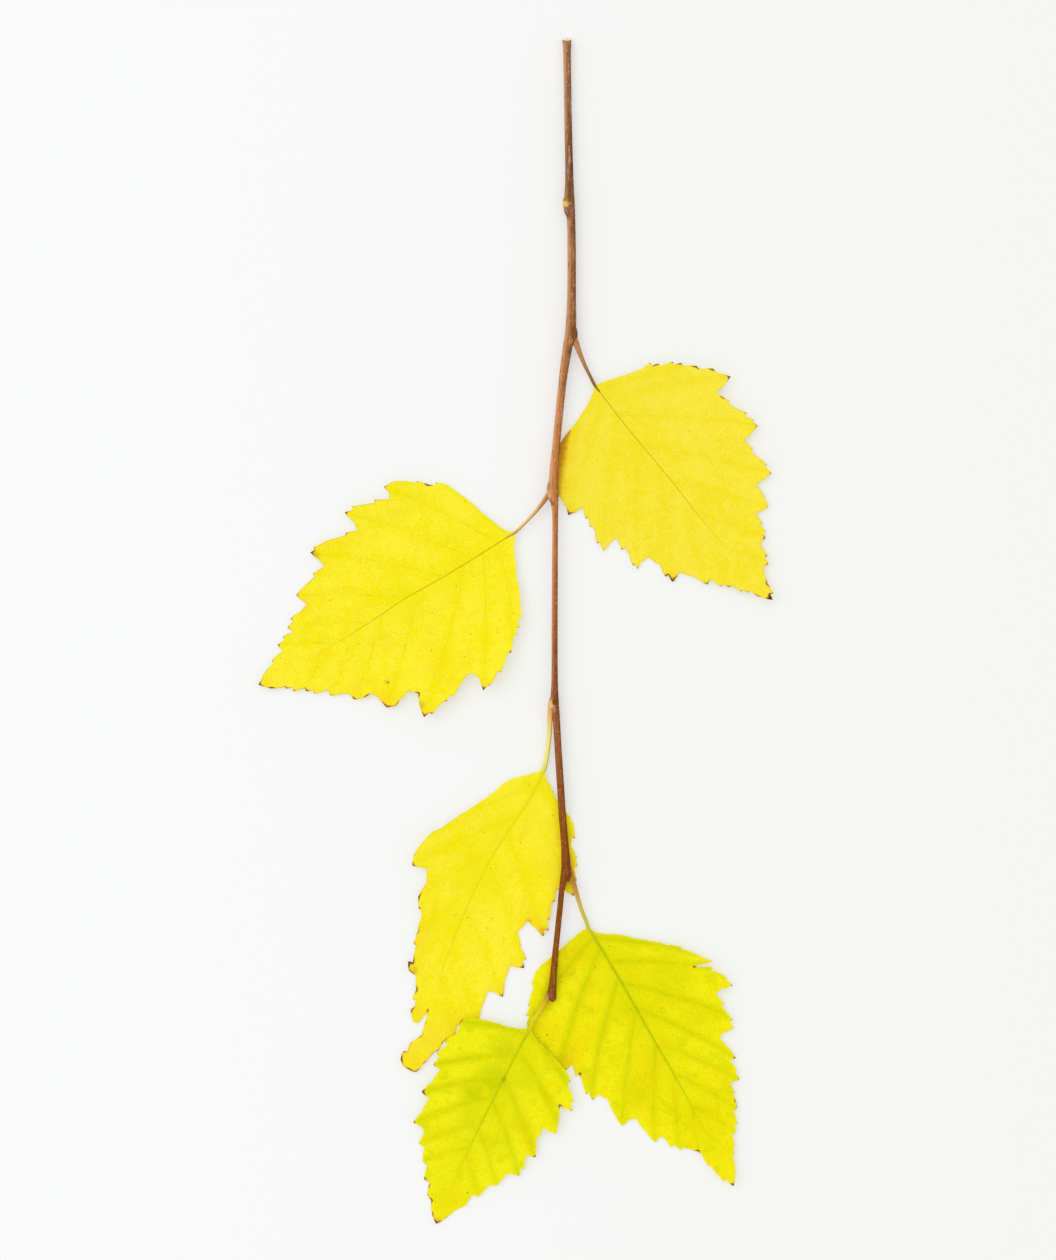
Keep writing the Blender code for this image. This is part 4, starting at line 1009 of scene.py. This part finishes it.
def sheet_height(leaf, points):
    """Height of the sheet over the table, lifted to meet the twig where it passes below it."""
    across = 0.5 + 0.5 * points[:, 1] / HEIGHT_REACH
    foot, middle, tip = (through_three(*row, across) for row in leaf["heights"])
    sheet = np.maximum(through_three(foot, middle, tip, towards_tip(leaf, points)), 0.0)
    table = to_table(leaf, points)
    twig = np.array(TWIG_LINE)[::-1]
    from_twig, _ = distance_to_line(table, twig[:, :2])
    below = np.interp(table[:, 1], twig[:, 1], twig[:, 2]) - UNDER_TWIG
    return sheet + np.maximum(below - sheet, 0.0) * bell(from_twig, LIFT_REACH)


def blade_fields(leaf, dryness, points, loop, tips, rib, veins, seed):
    """What the shape and the shader need at each point of the flat blade, by name."""
    from_rib, rib_place = distance_to_line(points, rib)
    off_rib = points[:, 1] - on_rib(rib, points[:, 0])
    side = np.where(off_rib >= 0, 1, -1)
    gaps = []
    widths = []
    for vein in veins:
        gap, place = distance_to_line(points, vein)
        gaps.append(np.where(np.sign(vein[-1][1]) == side, gap, np.inf))
        widths.append(1.0 - VEIN_THINNING * place / walked(vein)[-1])
    order = np.argsort(gaps, axis=0)
    first, second = np.take_along_axis(np.array(gaps), order[:2], axis=0)
    edge, _ = distance_to_line(points, np.vstack([loop, loop[:1]]))
    ladder = points[:, 0] * math.cos(LADDER_ANGLE) + np.abs(off_rib) * math.sin(LADDER_ANGLE)
    marks = {key: spots(points, leaf[key + "s"]) for key in ("burn", "speck")}
    marks |= {key: spots(points, leaf[key]) for key in ("gold", "tan", "green")}
    return marks | {
        "burn": np.maximum(dryness * spots(points, tips), marks["burn"]),
        "rib": from_rib,
        "rib_width": 1.0 - RIB_THINNING * rib_place / rib_place.max(),
        "vein": first,
        "vein_width": np.take_along_axis(np.array(widths), order[:1], axis=0)[0],
        "share": first / np.maximum(first + second, 1e-6),
        "edge": edge,
        "ladder": ladder / LADDER_PITCH + LADDER_WANDER * noise_at(points, LADDER_NOISE, seed),
    }


def blade_surfaces(leaf, look, points, fields, seed):
    """Heights over the table of the blade's upper and under side."""
    uneven = 1 + noise_at(points, PLEAT_NOISE, seed + 5)
    pleat = look["pleat"] * np.sin(math.pi * fields["share"]) ** 2
    pleat = pleat * smoothstep(fields["rib"] / PLEAT_START) * uneven
    panel = smoothstep(fields["vein"] / QUILT_FROM_VEIN) * smoothstep(fields["rib"] / QUILT_FROM_RIB)
    quilt = QUILT_HEIGHT * np.sin(math.pi * fields["ladder"]) ** 2 * panel
    near_edge = smoothstep(1.0 - fields["edge"] / RUFFLE_REACH)
    ruffle = RUFFLE_HEIGHT * near_edge * (0.5 + noise_at(points, RUFFLE_NOISE, seed + 3))
    middle = sheet_height(leaf, points) + pleat + quilt + ruffle + BLADE_MIDDLE
    thicker = smoothstep(fields["edge"] / BLADE_EDGE)
    half = BLADE_HALF_AT_EDGE + (BLADE_HALF - BLADE_HALF_AT_EDGE) * thicker
    vein = bell(fields["vein"], VEIN_HALF_WIDTH * (0.5 + fields["vein_width"]))
    vein = vein * fields["vein_width"] * smoothstep(fields["edge"] / VEIN_FADE)
    rib = bell(fields["rib"], RIB_HALF_WIDTH) * fields["rib_width"]
    top = middle + half - VEIN_DEPTH * vein - RIB_DEPTH * look["rib_strength"] * rib
    return top, np.maximum(middle - half - VEIN_RIDGE * vein - RIB_RIDGE * rib, LOWEST)


# Leaves

def new_piece(name, node, points, faces, material, attributes, sharp_angle):
    """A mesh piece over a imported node, from points in millimetres, with a float attribute for each
    named list."""
    mesh = bpy.data.meshes.new(name)
    mesh.from_pydata([tuple(point) for point in np.asarray(points) * MM], [], faces)
    mesh.validate()
    for key, values in attributes.items():
        layer = mesh.attributes.new(key, "FLOAT", "POINT")
        layer.data.foreach_set("value", np.asarray(values, dtype=np.float32))
    mesh.materials.append(material)
    mesh.shade_smooth()
    mesh.set_sharp_from_angle(angle=math.radians(sharp_angle))
    piece = bpy.data.objects.new(name, mesh)
    bpy.context.scene.collection.objects.link(piece)
    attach(piece, "root")
    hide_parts(node)


def blade_pattern(leaf, seed):
    """The flat blade as fine points and triangles, with edges along its midrib and side veins."""
    loop, tips = outline(leaf, seed)
    loop = refined(loop, seed)
    rib = midrib(leaf)
    veins = side_veins(leaf, rib, seed)
    fixed = [loop]
    edges = []
    count = len(loop)
    for line in [rib[1:-1]] + [vein[:-1] for vein in veins]:
        spaced = spaced_line(line, GRID)
        fixed.append(spaced)
        edges += [(i, i + 1) for i in range(count, count + len(spaced) - 1)]
        count += len(spaced)
    rows = np.arange(loop[:, 1].min(), loop[:, 1].max(), GRID * GRID_ROW)
    columns = np.arange(loop[:, 0].min(), loop[:, 0].max() + GRID, GRID)
    along, left = np.meshgrid(columns, rows)
    along[1::2] += 0.5 * GRID
    grid = np.column_stack([along.ravel(), left.ravel()])
    grid = grid[inside(grid, loop)]
    for line in [np.vstack([loop, loop[:1]])] + fixed[1:]:
        gap, _ = distance_to_line(grid, line)
        grid = grid[gap > GRID_CLEARANCE * GRID]
    points = [Vector(point) for point in np.vstack(fixed + [grid])]
    made = delaunay_2d_cdt(points, edges, [list(range(len(loop)))], 1, 0.01)
    flat = np.array([tuple(point) for point in made[0]])
    return flat, np.array(made[2]), loop, tips, rib, veins


def blade_attributes(leaf, look, flat, fields):
    """What the leaf's material reads at each point of the upper side."""
    t = towards_tip(leaf, flat)
    near_rib = bell(fields["rib"], look["green_reach"]) * 0.6
    near_veins = bell(np.minimum(fields["vein"], fields["rib"]), VEIN_GREEN_REACH)
    green = look["greenness"] * smoothstep(1.2 - t) * np.maximum(near_rib, near_veins)
    kept = {key: fields[key] for key in ("edge", "burn", "speck", "gold", "tan")}
    return kept | {
        "rib": fields["rib"] / np.maximum(fields["rib_width"], LEAST_WIDTH),
        "vein": fields["vein"] / np.maximum(fields["vein_width"], LEAST_WIDTH),
        "green": np.maximum(green, fields["green"]),
        "rib_end": smoothstep((RIB_END - t) / RIB_FADE),
        "dry": smoothstep((t - DRY_START) / DRY_FADE),
    }


def build_blade(name, leaf, look, seed):
    """The blade as a thin closed sheet: the pattern's upper and under side, joined at the margin."""
    flat, triangles, *lines = blade_pattern(leaf, seed)
    fields = blade_fields(leaf, look["dryness"], flat, *lines, seed)
    table = to_table(leaf, flat)
    sides = blade_surfaces(leaf, look, flat, fields, seed)
    points = np.vstack([np.column_stack([table, heights]) for heights in sides])
    count = len(flat)
    faces = [tuple(face) for face in triangles]
    faces += [(a + count, c + count, b + count) for a, b, c in faces]
    directed = {(a, b) for face in triangles for a, b in zip(face, np.roll(face, -1))}
    faces += [(a + count, b + count, b, a) for a, b in directed if (b, a) not in directed]
    shared = blade_attributes(leaf, look, flat, fields)
    attributes = {key: np.tile(values, 2) for key, values in shared.items()}
    attributes["under"] = np.repeat((0.0, 1.0), count)
    new_piece(name + "_blade", name, points, faces, leaf_material(name, look), attributes, 40)


def loft(line, sides, shape=None):
    """Points and faces of a closed tube along (x, y, z, radius) points, and the way from the tube's
    middle to each point. Shape gives a factor on the radius for the angles round each ring, with
    up at a right angle."""
    ahead = np.gradient(line[:, :3], axis=0)
    ahead /= np.linalg.norm(ahead, axis=1)[:, None]
    across = np.cross(ahead, (0.0, 0.0, 1.0))
    across /= np.linalg.norm(across, axis=1)[:, None]
    angles = np.arange(sides) * 2 * math.pi / sides
    factor = np.ones(sides) if shape is None else shape(angles)
    rings = []
    for place, side, top in zip(line, across, np.cross(across, ahead)):
        ring = side * np.cos(angles)[:, None] + top * np.sin(angles)[:, None]
        rings.append(place[:3] + ring * (place[3] * factor)[:, None])
    points = np.vstack(rings + [line[:1, :3], line[-1:, :3]])
    corners = [(corner, (corner + 1) % sides) for corner in range(sides)]
    last = (len(line) - 1) * sides
    faces = []
    for ring in range(0, last, sides):
        faces += [(ring + a, ring + a + sides, ring + b + sides, ring + b) for a, b in corners]
    for a, b in corners:
        faces += [(last + sides, a, b), (last + sides + 1, last + b, last + a)]
    return points, faces, points - on_rings(line[:, :3], sides)


def on_rings(values, sides):
    """Each ring's value at all its points, and the first and last at a loft's two end points."""
    return np.concatenate([np.repeat(values, sides, axis=0), values[:1], values[-1:]])


def rounded_ends(line, start_round, end_round):
    """The line with its radius drawn in over the last stretch at each end, as a dome."""
    way = walked(line)
    domed = line.copy()
    for distance, reach in ((way, start_round), (way[-1] - way, end_round)):
        if reach > 0:
            t = np.clip(distance / reach, 0.02, 1.0)
            domed[:, 3] *= np.sqrt(1 - (1 - t) ** 2)
    return domed


def off_angle(angles, centre):
    """How far round each angle is from the centre, between minus and plus half a turn."""
    return (angles - centre + math.pi) % (2 * math.pi) - math.pi


def grooved(angles):
    """A stalk's round section with a groove along its upper side."""
    return 1.0 - STALK_GROOVE * bell(off_angle(angles, 0.5 * math.pi), GROOVE_HALF_WIDTH)


def build_stalk(name, leaf, seed):
    """The stalk from the twig to the blade, running on as the fading midrib."""
    free = leaf["stalk"]
    rib = midrib(leaf)
    run_on = []
    for share, thinning in STALK_TAPER:
        radius = free[-1][3] * thinning
        along = leaf["rib"][0][0] + share * leaf["run_in"]
        flat = np.array([(along, on_rib(rib, along))])
        sheet = sheet_height(leaf, flat)[0] + BLADE_MIDDLE
        middle = max(sheet - STALK_SINK * smoothstep(share * 1.5), radius + 0.02)
        run_on.append((*to_table(leaf, flat)[0], middle, radius))
    line = rounded_ends(spaced_line(free + run_on, STALK_RING_STEP), *STALK_ROUNDS)
    points, faces, outward = loft(line, STALK_SIDES, grooved)
    rough = STALK_ROUGHNESS * noise_at(points, STALK_NOISE, seed)
    points = points + outward * rough[:, None]
    length = np.maximum(np.linalg.norm(outward, axis=1), 1e-6)
    attributes = {
        "share": on_rings(walked(line) / (walked(free)[-1] + 2.0), STALK_SIDES),
        "side": outward @ np.array(STALK_SHADED_SIDE) / length,
    }
    new_piece(name + "_stalk", name, points, faces, stalk_material(name), attributes, 60)


# The twig and its buds

def ellipsoid(place, size):
    """Points and faces of an ellipsoid with its length along Y."""
    work = bmesh.new()
    bmesh.ops.create_uvsphere(work, u_segments=20, v_segments=14, radius=0.5)
    length, width, height = size
    points = [place + np.array(v.co) * (width, length, height) for v in work.verts]
    faces = [tuple(v.index for v in face.verts) for face in work.faces]
    work.free()
    return points, faces


def grown_together(shells):
    """Points, normals and faces of one smooth skin round overlapping shells of points and faces."""
    all_points = []
    all_faces = []
    for points, faces in shells:
        all_faces += [tuple(i + len(all_points) for i in face) for face in faces]
        all_points += [tuple(point) for point in points]
    rough = bpy.data.meshes.new("twig_rough")
    rough.from_pydata(all_points, [], all_faces)
    work = bpy.data.objects.new("twig_rough", rough)
    bpy.context.scene.collection.objects.link(work)
    remesh = work.modifiers.new("remesh", "REMESH")
    remesh.mode = "VOXEL"
    remesh.voxel_size = TWIG_VOXEL
    smooth = work.modifiers.new("smooth", "SMOOTH")
    smooth.factor = SMOOTHING
    smooth.iterations = SMOOTHING_ROUNDS
    bpy.context.view_layer.update()
    evaluated = work.evaluated_get(bpy.context.evaluated_depsgraph_get())
    mesh = bpy.data.meshes.new_from_object(evaluated)
    bpy.data.objects.remove(work, do_unlink=True)
    points = np.array([tuple(vertex.co) for vertex in mesh.vertices])
    normals = np.array([tuple(vertex.normal) for vertex in mesh.vertices])
    faces = [tuple(polygon.vertices) for polygon in mesh.polygons]
    bpy.data.meshes.remove(mesh)
    return points, normals, faces


def below_cut(points):
    """How far each point is down the twig from its slanting cut."""
    _, end_y, end_z, _ = TWIG_LINE[0]
    return end_y - CUT_SLANT * (points[:, 2] - end_z) - points[:, 1]


def build_twig(seed):
    """The bark: the round twig and its cushions grown together, then roughened."""
    line = spaced_line(TWIG_LINE, TWIG_RING_STEP)
    points, faces, _ = loft(rounded_ends(line, 0.0, TWIG_END_ROUND), TWIG_SIDES)
    near_end = points[:, 1] > TWIG_LINE[0][1] - 1.0
    points[near_end, 1] -= CUT_SLANT * (points[near_end, 2] - TWIG_LINE[0][2])
    cushions = [ellipsoid(cushion[:3], cushion[3:]) for cushion in CUSHIONS]
    points, normals, faces = grown_together([(points, faces)] + cushions)
    streaks = STREAK_HEIGHT * noise_at(points * STREAK_STRETCH, STREAK_NOISE, seed)
    grain = GRAIN_HEIGHT * noise_at(points, GRAIN_NOISE, seed + 1)
    wrinkle = 0.0
    for _, y, *_ in CUSHIONS:
        off = points[:, 1] - y + WRINKLE_DROP
        wave = np.sin(off * 2 * math.pi / WRINKLE_PITCH)
        wrinkle = wrinkle + WRINKLE_HEIGHT * wave * bell(off, WRINKLE_REACH)
    cut = below_cut(points) < CUT_DEPTH
    points += normals * np.where(cut, 0.0, streaks + grain + wrinkle)[:, None]
    middle_x, _, middle_z, _ = TWIG_LINE[0]
    axis = np.array(TWIG_LINE)[::-1]
    twig_x, radius = (np.interp(points[:, 1], axis[:, 1], axis[:, column]) for column in (0, 3))
    attributes = {
        "cut": cut.astype(float),
        "from_middle": np.linalg.norm(points[:, ::2] - (middle_x, middle_z), axis=1),
        # Painted light and shade follow this: how far left or right of the twig's middle a point
        # lies.
        "side": (points[:, 0] - twig_x) / radius,
    }
    for name, (_, places) in BARK_PLACES.items():
        attributes[name] = spots(points[:, :2], places, spread=1.5)
    new_piece("twig_bark", "twig", points, faces, bark_material(), attributes, 70)


def build_bud(index, foot, tip, width, scale_colour, tip_colour):
    """A pointed bud of overlapping scales, its foot sunk in the twig."""
    shares = np.linspace(0.0, 1.0, BUD_RINGS)
    line = np.array(foot) + shares[:, None] * (np.array(tip) - np.array(foot))
    swell = np.sin(math.pi * np.clip(shares, 0.015, 0.985) ** 0.8) ** 0.8
    radii = 0.5 * width * np.maximum(swell * (1 - 0.25 * shares), 0.05)
    points, faces, outward = loft(np.column_stack([line, radii]), BUD_SIDES)
    share = on_rings(shares, BUD_SIDES)
    angles = np.tile(np.arange(BUD_SIDES) * 2 * math.pi / BUD_SIDES, BUD_RINGS)
    angles = np.concatenate([angles, [0.0, 0.0]])
    cover = np.zeros(len(points))
    for scale in range(BUD_SCALES):
        off = off_angle(angles, scale * SCALE_TURN + index)
        reach = 0.34 + 0.14 * scale
        cover += smoothstep((reach - share - 0.14 * off**2) / 0.03)
    length = np.linalg.norm(outward, axis=1)
    lift = SCALE_HEIGHT * cover * (length > 0.05) / np.maximum(length, 1e-6)
    points = points + outward * lift[:, None]
    attributes = {"share": share, "rim": np.abs(cover - np.round(cover))}
    name = f"bud_{index + 1}"
    material = bud_material(name, scale_colour, tip_colour)
    new_piece(name, "twig", points, faces, material, attributes, 50)


# Floor, light and camera

def build_floor():
    height = CAD_BOX[0][2] - FLOOR_GAP * MM
    bpy.ops.mesh.primitive_plane_add(size=FLOOR_SIZE, location=(0.0, 0.0, height))
    floor = bpy.context.object
    floor.name = "floor"
    graph = Graph("floor")
    # Painted light: the floor a little lighter towards its left.
    colour = graph.layer(FLOOR_LEFT, FLOOR_RIGHT, graph.ramp(graph.part("X"), *FLOOR_FADE))
    graph.feed(graph.shader.inputs["Emission Color"], WHITE)
    graph.feed(graph.shader.inputs["Emission Strength"], FLOOR_GLOW)
    floor.data.materials.append(graph.finish(colour, FLOOR_ROUGHNESS, specular=0.0))


def build_light():
    """The white surround and the key light."""
    world = bpy.data.worlds.new("studio")
    world.use_nodes = True
    background = world.node_tree.nodes["Background"]
    background.inputs["Color"].default_value = WHITE
    background.inputs["Strength"].default_value = SURROUND_STRENGTH
    bpy.context.scene.world = world
    key = bpy.data.lights.new("key", "SUN")
    key.energy = KEY_STRENGTH
    key.angle = KEY_SOFTNESS
    lamp = bpy.data.objects.new("key", key)
    lamp.rotation_euler = Vector(KEY_TOWARDS).to_track_quat("-Z", "Y").to_euler()
    bpy.context.scene.collection.objects.link(lamp)
    bpy.context.scene.view_settings.view_transform = "Standard"


def build_camera():
    """Straight down, with the photograph's frame on the table."""
    camera = bpy.data.cameras.new("camera")
    camera.sensor_fit = "VERTICAL"
    camera.sensor_height = SENSOR
    camera.lens = LENS
    camera.clip_start = 0.01
    seat = bpy.data.objects.new("camera", camera)
    seat.location = Vector((*VIEW_CENTRE, PHOTO_HEIGHT * PIXEL * LENS / SENSOR)) * MM
    bpy.context.scene.collection.objects.link(seat)
    bpy.context.scene.camera = seat


def main():
    build_floor()
    build_light()
    build_camera()
    for seed, (name, leaf) in enumerate(LEAVES.items(), start=1):
        build_blade(name, leaf, LEAF_LOOKS[name], seed)
        build_stalk(name, leaf, seed)
    build_twig(TWIG_SEED)
    for index, bud in enumerate(BUDS):
        build_bud(index, *bud)


main()
